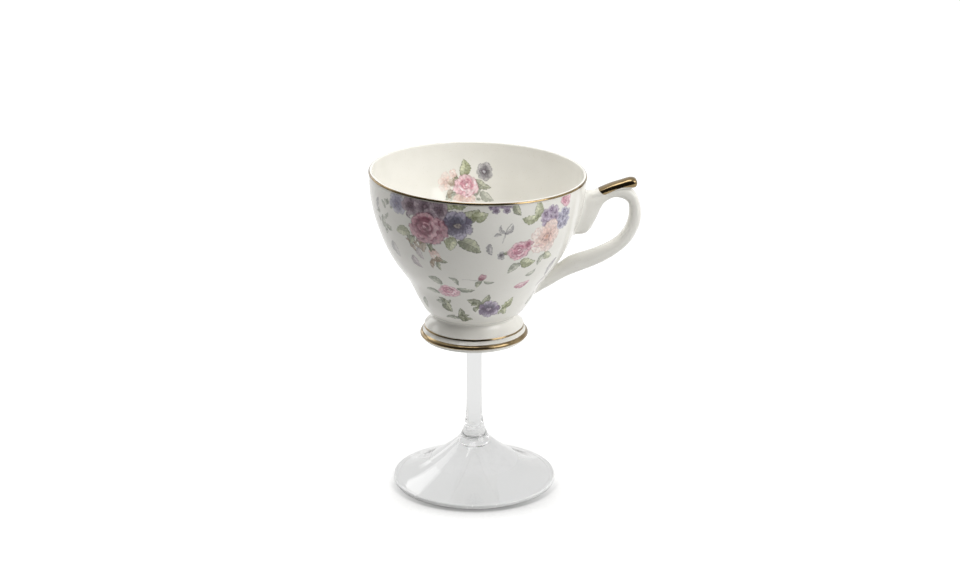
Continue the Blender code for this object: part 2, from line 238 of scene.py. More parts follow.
def bowl_wall():
    """Outer side from the crown of the lip down to the narrowest place, with a filleted waist."""
    crown = spot(RIM_RADIUS - LIP, BOWL_HEIGHT - LIP)
    top = spot(RIM_RADIUS, 60.2)
    knee = spot(29.4, KNEE_HEIGHT)
    slope = polar(1, 44)
    waist = spot(WAIST_RADIUS, 0)
    upper = curve(top, top - spot(0, 19.5), knee + slope * 8.4, knee, 90)
    lower = curve(knee, knee - slope * 5, waist + polar(6.9, WAIST_SLOPE), waist, 44)
    line = flowing(chain(arc(crown, LIP, 90, 0, 10), top, upper, lower), 42.0, 3.0)
    reach = WAIST_FILLET * math.tan(math.radians(90 - WAIST_SLOPE) / 2)
    keep = line[line[:, 0] > WAIST_RADIUS + polar(reach, WAIST_SLOPE)[0]]
    centre = spot(WAIST_RADIUS + WAIST_FILLET, -reach)
    return chain(keep, arc(centre, WAIST_FILLET, 90 + WAIST_SLOPE, 180, 8))


OUTER = bowl_wall()
BASE_HEIGHT = OUTER[-1, 1]


def bowl_inside():
    """Inner side from the middle of the floor up to the crown of the lip."""
    thick = WALL - (WALL - 2 * LIP) * ease((OUTER[:, 1] - THIN_FROM) / THIN_OVER)
    wall = (OUTER - outward(OUTER) * thick[:, None])[14:]
    wall = wall[wall[:, 1] > KNEE_HEIGHT + WALL][::-1]
    turn, rise = wall[0], wall[1] - wall[0]
    rise /= np.linalg.norm(rise)
    centre = spot(0, FLOOR)
    floor = curve(centre, spot(turn[0] * 0.62, FLOOR), turn - rise * turn[0] * 0.4, turn, 40)
    crown = spot(RIM_RADIUS - LIP, BOWL_HEIGHT - LIP)
    return chain(centre, floor, wall[1:], arc(crown, LIP, 180, 90, 10)[1:])


INNER = bowl_inside()


def wall_radius(height):
    return np.interp(height, OUTER[::-1, 1], OUTER[::-1, 0])


class Nodes:
    """The node tree of a material or world, filled from its shader backwards."""

    def __init__(self, look, shader="Principled BSDF", where="Object"):
        look.use_nodes = True
        self.look = look
        self.tree = look.node_tree
        self.shader = self.tree.nodes[shader]
        self.where = self.add("TexCoord", where, {})

    def feed(self, socket, value):
        """Links another node's output to a socket, or sets a constant on it."""
        if isinstance(value, bpy.types.NodeSocket):
            self.tree.links.new(value, socket)
        else:
            socket.default_value = value

    def set(self, **values):
        for key, value in values.items():
            self.feed(self.shader.inputs[key.replace("_", " ")], value)

    def add(self, kind, output, sockets, **values):
        """A new node's output; its values are set before its sockets are fed."""
        node = self.tree.nodes.new("ShaderNode" + kind)
        for key, value in values.items():
            setattr(node, key, value)
        for key, value in sockets.items():
            self.feed(node.inputs[key], value)
        return node.outputs[output]

    def noise(self, scale, detail=2.0, stretch=None):
        where = self.where
        if stretch is not None:
            where = self.add("Mapping", "Vector", {"Scale": stretch, "Vector": where})
        return self.add("TexNoise", "Fac", {"Scale": scale, "Detail": detail, "Vector": where})

    def ramp(self, source, *stops):
        colour = self.add("ValToRGB", "Color", {"Fac": source})
        for stop, (at, tone) in zip(colour.node.color_ramp.elements, stops):
            stop.position = at
            stop.color = (*tone, 1)
        return colour

    def span(self, source, low, high, start=0.3, end=0.7, kind="LINEAR"):
        ends = {"From Min": start, "From Max": end, "To Min": low, "To Max": high}
        return self.add("MapRange", "Result", {"Value": source, **ends}, interpolation_type=kind)

    def mix(self, factor, a, b, kind="RGBA", blend="MIX"):
        sockets = {"Factor": factor, "A": a, "B": b}
        return self.add("Mix", "Result", sockets, data_type=kind, blend_type=blend)

    def combine(self, operation, a, b):
        return self.add("Math", "Value", {0: a, 1: b}, operation=operation)

    def attribute(self, name, output):
        return self.add("Attribute", output, {}, attribute_name=name)

    def bump(self, source, depth, strength):
        sockets = {"Distance": depth, "Strength": strength, "Height": source}
        self.set(Normal=self.add("Bump", "Normal", sockets))

    def rays(self, *kinds):
        """Whether a ray is of some kind, one output for each."""
        path = self.tree.nodes.new("ShaderNodeLightPath")
        return [path.outputs["Is " + kind + " Ray"] for kind in kinds]


def material(name):
    return Nodes(bpy.data.materials.new(name))


def porcelain(name, printed=False):
    """Glazed ivory porcelain: faint mottling and specks under a slightly rippled glaze."""
    n = material(name)
    body = n.ramp(n.noise(70, 3), (0.3, (0.832, 0.817, 0.762)), (0.7, (0.877, 0.862, 0.811)))
    specks = n.ramp(n.noise(1900, 1), (0.24, (0.9, 0.88, 0.83)), (0.30, (1, 1, 1)))
    colour = n.mix(1, body, specks, blend="MULTIPLY")
    gloss = n.span(n.noise(160, 2), 0.05, 0.10)
    if printed:
        cover = n.attribute("print_cover", "Fac")
        colour = n.mix(cover, colour, n.attribute("print_colour", "Color"))
        gloss = n.mix(cover, gloss, 0.2, "FLOAT")
    n.set(Base_Color=colour, Roughness=gloss, IOR=1.52)
    n.bump(n.noise(170, 1), 0.0004, 0.05)
    return n.look


def gold(name):
    """Burnished bright gold with thin worn places and fine polishing streaks."""
    n = material(name)
    # Its colour is darker than bare gold: painted shade in place of the dark room it mirrors. The noise
    # varies the tone at random.
    tone = n.ramp(n.noise(120, 4), (0.3, (0.17, 0.122, 0.062)), (0.65, (0.32, 0.238, 0.13)))
    n.set(Base_Color=tone, Roughness=n.span(n.noise(500, 3, (1, 1, 3)), 0.06, 0.17), Metallic=1.0)
    n.bump(n.noise(900, 2, (1, 1, 2.5)), 0.0001, 0.15)
    return n.look


def glass(name):
    """Clear pressed glass with slow waves in its surface and a trace of handling haze."""
    n = material(name)
    haze = n.span(n.noise(240, 3), 0.0, 0.035, 0.45, 0.8)
    n.set(Base_Color=(0.965, 0.97, 0.967, 1), Transmission_Weight=1.0, IOR=1.5, Roughness=haze)
    n.bump(n.noise(60, 1), 0.0006, 0.06)
    return n.look


def adhesive(name):
    """Set clear adhesive with cloudy patches."""
    n = material(name)
    patches = n.ramp(n.noise(300, 3), (0.3, (0.78, 0.77, 0.70)), (0.7, (0.90, 0.90, 0.86)))
    n.set(Base_Color=patches, Transmission_Weight=0.8, IOR=1.48, Roughness=n.span(n.noise(600, 2), 0.1, 0.35))
    return n.look


def fused_joint(name):
    """Where two glass pieces run into one: nothing to see but a trace of haze."""
    n = material(name)
    n.set(Transmission_Weight=1.0, IOR=1.5, Alpha=n.span(n.noise(400, 3), 0.0, 0.04, 0.4, 0.8))
    return n.look


def polished_rim(name):
    """The fire-polished rim of the glass foot, a little cloudy, so that it catches the light."""
    n = material(name)
    cloudy = n.ramp(n.noise(260, 3), (0.3, (0.86, 0.87, 0.865)), (0.7, (0.93, 0.935, 0.93)))
    n.set(Base_Color=cloudy, Roughness=n.span(n.noise(700, 2), 0.12, 0.28), Transmission_Weight=0.25, IOR=1.5)
    return n.look


PORCELAIN = porcelain("ivory_porcelain")
PRINTED = porcelain("printed_porcelain", printed=True)
GOLD = gold("bright_gold")
STEM_GLASS = glass("clear_stem_glass")
FUSED = fused_joint("fused_joint")
POLISHED = polished_rim("polished_glass_rim")
FOOT_GLASS = glass("clear_foot_glass")


def adopt(piece, slot, *nodes):
    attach(piece, "root")
    if nodes:
        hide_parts(*nodes)


def waver(amount, seed):
    """A hand-drawn edge's slow drift, in millimetres, round the full turn."""
    phases = np.random.default_rng(seed).uniform(0, 2 * math.pi, 6)
    counts = (2, 3, 5, 9, 14, 23)

    def drift(turns):
        return amount * sum(np.sin(c * turns + p) / math.sqrt(c) for c, p in zip(counts, phases)) / 1.6

    return drift


def gilded_band(name, line, segments, place, high, low, node, seed, bead):
    """A film of gold on a turned surface between two lengths along its line, with hand-drawn edges.

    A bead stands it off at its lower edge.
    """
    turns = full_turn(segments)
    edges = [waver(EDGE_DRIFT, seed)(turns), waver(EDGE_DRIFT, seed + 1)(turns)]
    normals = outward(line)
    outer, inner = [], []
    for share in np.arange(FILM_ROWS + 1) / FILM_ROWS:
        where = (high + edges[0]) * (1 - share) + (low + edges[1]) * share
        lift = (FILM + bead * share) * math.sqrt(max(1 - (2 * share - 1) ** 8, 0)) + 0.004
        at, out = at_length(line, where), at_length(line, where, normals)
        for depth, kept in ((lift, outer), (-FILM_ROOT, inner)):
            p = at + out * depth
            kept.append(around(p[:, 0], p[:, 1], turns))
    rings = outer + inner[::-1]
    count = len(rings)
    faces, uv = [], []
    for a in range(count):
        for j in range(segments):
            corners = [(a, j), (a + 1, j), (a + 1, j + 1), (a, j + 1)]
            faces.append([row % count * segments + column % segments for row, column in corners])
            uv += [(column / segments, row / count) for row, column in corners]
    piece = make_piece(name, place(np.concatenate(rings)), faces, GOLD, uv, SOFT_CREASE)
    adopt(piece, "gilding", node)


def build_bowl():
    line = chain(INNER, OUTER[1:], spot(0, BASE_HEIGHT))
    adopt(turned("bowl", line, 240, PORCELAIN, leaned), "porcelain", "cup_bowl")
    gilded_band("lip_gold", OUTER, 360, leaned, 0.5, 1.4, "rim_gilding", 3, 0.3)


def foot_line():
    """Outer side of the porcelain foot from the waist to its sole."""
    seat = spot(WAIST_RADIUS, SEAT)
    middle = spot(SHOULDER, LINE_HEIGHT)
    shoulder, line_end = middle + spot(0, 1.0), middle - spot(0, 1.0)
    edge = spot(FOOT_RADIUS, EDGE_HEIGHT)
    toe = spot(FOOT_RADIUS - 0.5, FOOT_BASE + 0.4)
    rise = SEAT - shoulder[1]
    line = chain(
        seat,
        curve(seat, seat - spot(0, rise * 0.45), shoulder + spot(-1.2, 1.3), shoulder, 24),
        line_end,
        curve(line_end, line_end + spot(0.5, -0.6), edge + spot(0, 0.8), edge, 14),
        curve(edge, edge - spot(0, 0.8), toe + spot(0.1, 0.5), toe, 8),
        spot(FOOT_RADIUS - 1.0, FOOT_BASE),
    )
    top = SEAT + BASE_HEIGHT
    kept = line[line[:, 1] < top - 0.05]
    return chain(spot(np.interp(top, line[::-1, 1], line[::-1, 0]), top), kept)


def build_foot():
    outer = foot_line()
    top = outer[0, 1]
    inside = spot(FOOT_RADIUS - 3.2, FOOT_BASE)
    corner = spot(14.6, 72.0)
    recess = curve(inside, inside + spot(-0.6, 2.5), corner + spot(0.4, -1.4), corner, 14)
    roof = [(14.42, 72.42), (14.0, FOOT_ROOF), (0.0, FOOT_ROOF)]
    line = chain(spot(0, top), outer, inside, recess, roof)
    adopt(turned("foot_ring", line, 160, PORCELAIN, plumb), "porcelain", "cup_foot")
    for name, node, height, above, below, seed, bead in FOOT_BANDS:
        at = np.interp(height, outer[::-1, 1], lengths(outer)[::-1])
        gilded_band(name, outer, 300, plumb, at - above, at + below, node, seed, bead)


# Handle: its bar runs between two rails, measured from where it leaves the wall and where it comes back
ROOT_HEIGHT = 45.0
TAIL_HEIGHT = 17.0
ROOT = spot(float(wall_radius(ROOT_HEIGHT)), ROOT_HEIGHT)
TAIL = spot(float(wall_radius(TAIL_HEIGHT)), TAIL_HEIGHT)
RAIL_OUTER = [(-4.0, 7.0), (2.6, 9.0), (6.7, 10.0), (11.5, 10.5), (16.3, 11.2), (19.6, 11.0), (22.4, 9.0)]
RAIL_OUTER += [(24.3, 5.0), (25.2, 0.0), (24.3, -6.1), (19.9, -13.9), (10.3, -21.3)]
RAIL_INNER = [(-5.0, -9.6), (2.4, -9.0), (6.1, -3.4), (9.0, 3.7), (13.0, 6.7), (17.0, 6.5), (19.6, 4.6)]
RAIL_INNER += [(20.1, 1.2), (19.8, -2.5), (18.2, -6.8), (14.3, -11.5), (6.6, -15.7)]
TAIL_OUTER = [(9.5, 0.0), (2.1, -4.6), (-6.0, -9.6)]
TAIL_INNER = [(10.4, 8.6), (5.4, 5.0), (-2.4, 0.6)]
REST_TOP = [(4.0, 8.8), (7.9, 10.8), (12.0, 12.7), (16.0, 14.1), (19.6, 15.3), (21.9, 15.1), (22.9, 13.8)]
REST_UNDER = [(5.0, 5.5), (9.3, 7.4), (13.6, 8.9), (17.6, 10.1), (20.6, 10.8), (22.4, 11.6), (23.0, 13.0)]
GILDED_EDGE = [(6.4, 11.1), (7.8, 9.5), (9.5, 8.5), (12.2, 9.7), (15.0, 11.1), (18.0, 11.8), (25.0, 11.8)]
SECTION = 44  # points round the bar
SECTION_POWER = 2.6  # 2 would make an ellipse
BAR_THICKNESS = 5.8
ROOT_EXTRA, TAIL_EXTRA = 3.2, 0.6  # how much thicker the bar is where it meets the wall
BAR_END = 0.3  # share of the bar in which it thickens
ROOT_FILLET, TAIL_FILLET = 2.4, 2.0
SUNK = 0.5  # how deep the bar goes into the wall
REST_HALF = 3.0  # half the thickness of the thumb rest
CAP_SPAN = slice(8, 80)  # the part of the bar under the gold
ZONE_TOP, ZONE_HALF = 75.0, 15.0  # a block that holds all of the gold


def from_wall(start, points):
    return [start + spot(*point) for point in points]


def sections(high, low, halves, grow=0.0):
    """Rounded sections of a bar between two rails: an array of rings, points and coordinates."""
    turns = full_turn(SECTION)
    c, s = np.cos(turns), np.sin(turns)
    a = np.sign(c) * np.abs(c) ** (2 / SECTION_POWER)
    b = np.sign(s) * np.abs(s) ** (2 / SECTION_POWER)
    centre, reach = (high + low) / 2, (high - low) / 2
    reach = reach * (1 + grow / np.linalg.norm(reach, axis=1))[:, None]
    flat = centre[:, None] + reach[:, None] * a[None, :, None]
    deep = (halves + grow)[:, None] * b[None]
    return np.stack([flat[..., 0], deep, flat[..., 1]], -1)


def tube(name, rings):
    """A piece skinned over rings of points, closed at both ends."""
    count, size = rings.shape[:2]
    faces = [list(range(size))[::-1], [(count - 1) * size + j for j in range(size)]]
    for a in range(count - 1):
        for j in range(size):
            corners = ((a, j), (a, j + 1), (a + 1, j + 1), (a + 1, j))
            faces.append([row * size + column % size for row, column in corners])
    return make_piece(name, rings.reshape(-1, 3), faces, None)


def outside_bowl(p):
    return np.hypot(p[..., 0], p[..., 1]) - wall_radius(p[..., 2])


def bowl_normal(p):
    step = 0.2
    slope = (wall_radius(p[2] + step) - wall_radius(p[2] - step)) / (2 * step)
    flat = p[:2] / np.hypot(*p[:2])
    normal = spot(flat[0], flat[1], -slope)
    return normal / np.linalg.norm(normal)


def filleted_end(line, middle, size):
    """Rounds one line of the bar into the bowl: the rounding, from the bowl on, and the line outside it."""
    gap = outside_bowl(line)
    first = int(np.argmax(gap > 0))
    share = gap[first - 1] / (gap[first - 1] - gap[first])
    touch = line[first - 1] + (line[first] - line[first - 1]) * share
    rest = chain(touch, line[first:])
    leave = at_length(rest, size)
    normal = bowl_normal(touch)
    spread = touch - middle
    spread -= normal * spread.dot(normal)
    spread /= np.linalg.norm(spread)
    land = touch + spread * size
    t = np.linspace(0, 1, 11)[:, None]
    bend = (1 - t) ** 2 * land + 2 * t * (1 - t) * touch + t * t * leave
    radius = np.hypot(bend[:, 0], bend[:, 1])
    wanted = np.maximum(radius, wall_radius(bend[:, 2]) + 0.01)
    bend[:, :2] *= (wanted / radius)[:, None]
    sunk = bend[0] - bowl_normal(bend[0]) * SUNK
    return chain(sunk, bend), rest


def joined(target, other, operation):
    """Booleans two scratch pieces and keeps the result in the first one."""
    cut = target.modifiers.new("cut", "BOOLEAN")
    cut.operation = operation
    cut.solver = "EXACT"
    cut.object = other
    bpy.context.view_layer.update()
    graph = bpy.context.evaluated_depsgraph_get()
    mesh = bpy.data.meshes.new_from_object(target.evaluated_get(graph))
    target.modifiers.clear()
    target.data = mesh
    bpy.data.objects.remove(other)


def settle(piece, look):
    """Puts a booleaned piece into the row frame, shaded smooth."""
    mesh = piece.data
    flat = np.zeros(len(mesh.vertices) * 3, np.float32)
    mesh.vertices.foreach_get("co", flat)
    placed = leaned(flat.reshape(-1, 3).astype(float) / MM) * MM
    mesh.vertices.foreach_set("co", placed.astype(np.float32).ravel())
    mesh.update()
    mesh.shade_smooth()
    mesh.set_sharp_from_angle(angle=math.radians(SOFT_CREASE))
    mesh.materials.clear()
    mesh.materials.append(look)
    return piece


def build_handle():
    high = smooth_line(from_wall(ROOT, RAIL_OUTER) + from_wall(TAIL, TAIL_OUTER), 10)
    low = smooth_line(from_wall(ROOT, RAIL_INNER) + from_wall(TAIL, TAIL_INNER), 10)
    share = np.linspace(0, 1, len(high))
    extra = np.maximum(1 - share / BAR_END, 0) ** 2 * ROOT_EXTRA
    extra += np.maximum(1 - (1 - share) / BAR_END, 0) ** 2 * TAIL_EXTRA
    halves = (BAR_THICKNESS + extra) / 2
    raw = sections(high, low, halves)
    lines = []
    for line in raw.swapaxes(0, 1):
        head, rest = filleted_end(line, raw[6].mean(0), ROOT_FILLET)
        tail, back = filleted_end(line[::-1], raw[-7].mean(0), TAIL_FILLET)
        core = line[len(line) - len(rest) + 1 : len(back) - 1]
        span = chain(rest[0], core, back[0])
        body = at_length(span, np.linspace(ROOT_FILLET, lengths(span)[-1] - TAIL_FILLET, 120))
        lines.append(chain(head[:-1], body, tail[::-1][1:]))
    handle = tube("handle", np.stack(lines, 1))
    rest_high = smooth_line(from_wall(ROOT, REST_TOP), 10)
    rest_low = smooth_line(from_wall(ROOT, REST_UNDER), 10)
    along = np.linspace(0, 1, len(rest_high))
    rest_halves = REST_HALF * np.sqrt(np.maximum(1 - along**6, 0.05))
    joined(handle, tube("rest", sections(rest_high, rest_low, rest_halves)), "UNION")
    adopt(settle(handle, PORCELAIN), "porcelain", "cup_handle")

    # The gold is a thin shell over the thumb rest, cut off along its drawn edge.
    cap = tube("handle_gold", sections(high[CAP_SPAN], low[CAP_SPAN], halves[CAP_SPAN], CAP_FILM))
    joined(cap, tube("rest", sections(rest_high, rest_low, rest_halves, CAP_FILM)), "UNION")
    edge = smooth_line(from_wall(ROOT, GILDED_EDGE), 6)
    outline = chain(edge, [(edge[-1, 0], ZONE_TOP), (edge[0, 0], ZONE_TOP)])
    count = len(outline)
    sides = np.concatenate([np.insert(outline, 1, y, axis=1) for y in (-ZONE_HALF, ZONE_HALF)])
    faces = [list(range(count)), list(range(2 * count - 1, count - 1, -1))]
    faces += [[k, k + count, (k + 1) % count + count, (k + 1) % count] for k in range(count)]
    joined(cap, make_piece("zone", sides, faces, None), "INTERSECT")
    adopt(settle(cap, GOLD), "gilding", "handle_gilding")


def fuse_faces(piece):
    """Gives the flat faces of the fused joint their own look, so that the glass runs on through it."""
    piece.data.materials.append(FUSED)
    for face in piece.data.polygons:
        if abs(face.center.z / MM - FUSE_HEIGHT) < 0.1 and abs(face.normal.z) > 0.99:
            face.material_index = 1


def build_glass():
    head = spot(STEM_HEAD, HEAD_TOP - 1.6)
    neck = spot(STEM_RADIUS, head[1] - 8.0)
    flare = spot(STEM_RADIUS, 36.0)
    fuse = spot(FUSE_RADIUS, FUSE_HEIGHT + 0.01)
    slope = polar(1, 128.3)
    stem = chain(
        spot(0, HEAD_TOP),
        arc(spot(STEM_HEAD - 0.4, HEAD_TOP - 0.4), 0.4, 90, 0, 6),
        head,
        curve(head, head + spot(-3.2, -1.2), neck + spot(0, 4.0), neck, 24),
        np.linspace(neck, flare, 16)[1:],
        curve(flare, flare - spot(0, 10.3), fuse + slope * 2.6, fuse, 40),
        spot(0, fuse[1]),
    )
    piece = turned("stem", stem, 128, STEM_GLASS, plumb)
    fuse_faces(piece)
    adopt(piece, "clear_glass", "glass_stem")

    top = spot(FUSE_RADIUS, FUSE_HEIGHT - 0.01)
    rim, dish = spot(GLASS_RADIUS, 1.65), polar(1, 162.3)
    upper = chain(top, curve(top, top - slope * 3.35, rim + dish * 14.7, rim + dish * 0.5, 90))
    under = upper - outward(upper) * GLASS_WALL
    hollow = under[(under[:, 1] > 0.3) & (under[:, 1] < 10.6)][::-1]
    hollow = hollow[hollow[:, 0] < GLASS_RADIUS - GLASS_WALL]
    last, lead = hollow[-1], hollow[-1] - hollow[-2]
    lead /= np.linalg.norm(lead)
    pontil = spot(5.3, CROWN_HEIGHT - 0.2)
    sole = spot(GLASS_RADIUS - 0.7, 0.02)
    line = chain(
        spot(0, top[1]),
        upper,
        curve(upper[-1], rim + spot(0.3, -0.1), spot(GLASS_RADIUS + 0.05, 0.15), sole, 12),
        spot(GLASS_RADIUS - 2.3, 0.02),
        hollow,
        curve(last, last + lead * 3.0, pontil + spot(2.2, -0.6), pontil, 24),
        curve(pontil, pontil + spot(-0.4, 0.1), spot(4.9, CROWN_HEIGHT), spot(4.6, CROWN_HEIGHT), 6),
        spot(0, CROWN_HEIGHT),
    )
    piece = turned("glass_base", line, 200, FOOT_GLASS, plumb)
    fuse_faces(piece)
    piece.data.materials.append(POLISHED)
    # The sole and the crown of the hollow let the view straight through, and the rim is cloudy.
    for face in piece.data.polygons:
        far = math.hypot(face.center.x / MM - AXIS_X, face.center.y / MM)
        below = face.center.z < np.interp(far, upper[:, 0], upper[:, 1] - 1) * MM
        crown = below and far < 18 and not 4.6 < far < 5.4
        if face.center.z < 0.03 * MM or crown:
            face.material_index = 1
        elif far > GLASS_RADIUS - 0.4:
            face.material_index = 2
    adopt(piece, "clear_glass", "glass_foot")
    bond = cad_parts["stem_adhesive"]
    bond.data.materials.clear()
    bond.data.materials.append(adhesive("set_clear_adhesive"))


class Print:
    """Flowers laid over a turned wall. Colours are as seen, 0 to 255, until the mesh is made."""

    def __init__(self, line, low, high, right):
        """right is 1 on an outer wall, whose line runs down, and -1 on an inner one, whose line runs up."""
        total = lengths(line)
        order = np.argsort(line[:, 1])
        ends = [float(np.interp(h, line[order, 1], total[order])) for h in (low, high)]
        self.line, self.total, self.order, self.right = line, total, order, right
        self.low, self.high = low, high
        self.rows = np.arange(min(ends), max(ends), PRINT_STEP)
        self.radius = np.interp(self.rows, total, line[:, 0])
        self.columns = int(2 * math.pi * self.radius.max() / PRINT_STEP)
        self.cover = np.zeros((len(self.rows), self.columns))
        self.colour = np.full((len(self.rows), self.columns, 3), 235.0)

    def near(self, angle, height, reach):
        """The print's points round a place on the wall, with millimetres to the right and up from it."""
        line, order = self.line, self.order
        middle = np.interp(height, line[order, 1], self.total[order])
        rows = np.where(np.abs(self.rows - middle) < reach)[0]
        exact = (angle / 360) * self.columns
        pitch = 2 * math.pi / self.columns
        narrow = self.radius[rows].min(initial=RIM_RADIUS)
        half = int(min(reach / (narrow * pitch) + 1, self.columns / 2 - 1))
        near = np.arange(round(exact) - half, round(exact) + half + 1)
        u = self.right * (near - exact)[None] * pitch * self.radius[rows][:, None]
        v = -self.right * (self.rows[rows] - middle)[:, None] + 0 * u
        return np.ix_(rows, near % self.columns), u, v

    def moved(self, angle, height, across, up):
        """A place some millimetres to the right of another one and above it."""
        scale = DEGREES / float(np.interp(height, self.line[self.order, 1], self.line[self.order, 0]))
        return angle + self.right * across * scale, height + up

    def lay(self, where, amount, colour):
        amount = np.clip(amount, 0, 1)
        old = self.cover[where]
        new = amount + old * (1 - amount)
        share = np.where(new > 1e-6, amount / np.maximum(new, 1e-6), 0)[..., None]
        self.colour[where] = self.colour[where] * (1 - share) + np.asarray(colour, float) * share
        self.cover[where] = new

    def weather(self, seed):
        """Wavers the drawn edges and clouds the washes, as in a printed transfer."""
        shape = self.cover.shape
        row, column = np.indices(shape)
        for pitch, reach in ((9, 2.0), (3, 0.6)):
            row = row + reach * (cloud(shape, pitch, seed) - 0.5)
            column = column + reach * (cloud(shape, pitch, seed + 1) - 0.5)
            seed += 2
        row = np.clip(np.rint(row).astype(int), 0, shape[0] - 1)
        column = np.rint(column).astype(int) % shape[1]
        grain = 0.5 * cloud(shape, 2.2, seed) + 0.5 * cloud(shape, 4.5, seed + 1)
        self.cover = self.cover[row, column]
        self.colour = np.clip(self.colour[row, column] * (0.84 + 0.32 * grain)[..., None], 0, 250)

    def piece(self, name):
        kept = self.cover > 0.01
        follow = np.roll(kept, -1, axis=1)
        cells = kept[:-1] | kept[1:] | follow[:-1] | follow[1:]
        row, column = np.where(cells)
        corners = ((0, 0), (1, 0), (1, 1), (0, 1))
        index = np.stack([(row + r) * self.columns + (column + c) % self.columns for r, c in corners], -1)
        across = np.stack([column + c for _, c in corners], -1)
        used, faces = np.unique(index, return_inverse=True)
        faces = faces.reshape(index.shape)
        lift = self.line + outward(self.line) * PRINT_LIFT
        at = at_length(self.line, self.rows, lift)[used // self.columns]
        points = around(at[:, 0], at[:, 1], full_turn(self.columns)[used % self.columns])
        uv = np.stack([across / self.columns, (index // self.columns) / len(self.rows)], -1)
        piece = make_piece(name, leaned(points), faces.tolist(), PRINTED, uv.reshape(-1, 2))
        seen = np.clip(self.colour.reshape(-1, 3)[used] / 255, 0, 1)
        linear = np.where(seen < 0.04045, seen / 12.92, ((seen + 0.055) / 1.055) ** 2.4)
        ink = piece.data.attributes.new("print_colour", "FLOAT_COLOR", "POINT")
        ink.data.foreach_set("color", np.insert(linear, 3, 1, axis=1).astype(np.float32).ravel())
        cover = piece.data.attributes.new("print_cover", "FLOAT", "POINT")
        cover.data.foreach_set("value", self.cover.reshape(-1)[used].astype(np.float32))
        adopt(piece, "porcelain")


def cloud(shape, pitch, seed):
    """A soft random field between 0 and 1 over a whole print, which closes on itself round the wall."""
    rng = np.random.default_rng(seed)
    rows, columns = int(shape[0] / pitch) + 1, int(shape[1] / pitch)
    grid = rng.random((rows + 1, columns))
    down, across = np.linspace(0, rows - 0.001, shape[0]), np.arange(shape[1]) * columns / shape[1]
    i, j = down.astype(int), across.astype(int)
    a, b = ease(down - i)[:, None], ease(across - j)[None]
    k = (j + 1) % columns
    upper = grid[i][:, j] * (1 - b) + grid[i][:, k] * b
    lower = grid[i + 1][:, j] * (1 - b) + grid[i + 1][:, k] * b
    return upper * (1 - a) + lower * a


def blend(a, b, share):
    share = np.asarray(share)[..., None]
    return np.asarray(a, float) * (1 - share) + np.asarray(b, float) * share


class Brush:
    """Paints round one place of a print; u and v are millimetres to the right and up from it."""

    def __init__(self, p, angle, height, reach, strength):
        self.print, self.strength = p, strength
        self.where, self.u, self.v = p.near(angle, height, reach)

    def lay(self, amount, colour):
        self.print.lay(self.where, self.strength * amount, colour)

    def mottle(self, size, seed):
        """A soft cloudy wash between 0 and 1."""
        rng = np.random.default_rng(seed)
        total = 0
        for _ in range(6):
            way, phase = rng.uniform(0, 2 * math.pi, 2)
            pace = 2 * math.pi / size * rng.uniform(0.6, 1.6)
            total = total + np.sin(pace * (self.u * math.cos(way) + self.v * math.sin(way)) + phase)
        return np.clip(0.5 + total / 6, 0, 1)

    def heading(self, turn):
        """Millimetres across and along a direction, in degrees clockwise from straight up."""
        c, s = polar(1, turn)
        return self.u * c - self.v * s, self.u * s + self.v * c

    def oval(self, turn, distance, across, along):
        """Depth inside an oval that stands off along a direction, and the place in its own axes."""
        x, y = self.heading(turn)
        y = y - distance
        return (1 - np.hypot(x / across, y / along)) * min(across, along), x, y


def petal(brush, shape, tones, seed, veins=3.0):
    """One painted petal: shade under it, a wash, fine veins, a lit lip and a broken outline."""
    dark, mid, light = tones
    across, along = shape[2:]
    edge, x, y = brush.oval(*shape)
    edge = edge + 0.18 * across * (brush.mottle(across * 0.8, seed) - 0.5)
    out = ease(y / along * 0.55 + 0.5)
    fleck = brush.mottle(1.5, seed + 2)
    brush.lay(0.6 * ease(edge / (0.2 * across) + 1) * np.sqrt(fleck), dark)
    wash = ease(out * 1.25 - 0.2 + 0.9 * (brush.mottle(across * 0.6, seed + 1) - 0.5))
    brush.lay(ease(edge / 0.24 + 0.5), blend(mid, light, wash))
    brush.lay(0.6 * ease(edge / 0.3) * (1 - out) ** 2, dark)
    fan = np.sin(veins * 2 * math.pi * x / (across * (0.45 + 0.55 * out)))
    brush.lay(0.2 * ease(edge / 0.5) * ease(fan * 2 - 0.8) * (1 - out * 0.6), dark)
    lip = ease(edge / 0.2 + 0.3) * ease(1.2 - edge / (0.24 * along)) * out
    brush.lay(0.75 * lip * ease(fleck * 2 - 0.3), light)
    brush.lay(0.45 * ease(1.35 - np.abs(edge - 0.05) / 0.16) * ease(2.6 * fleck - 0.9), dark)


CRESCENTS = [  # reach, depth, middle and half width of its sweep in degrees, light
    (0.84, 0.34, 20, 70, 0.85),
    (0.74, 0.28, 290, 66, 0.55),
    (0.70, 0.28, 196, 74, 0.65),
    (0.66, 0.30, 100, 76, 1.1),
    (0.42, 0.22, 284, 84, 0.45),
    (0.36, 0.18, 52, 84, 0.8),
    (0.27, 0.16, 206, 90, 0.45),
    (0.15, 0.14, 330, 130, 1.1),
]


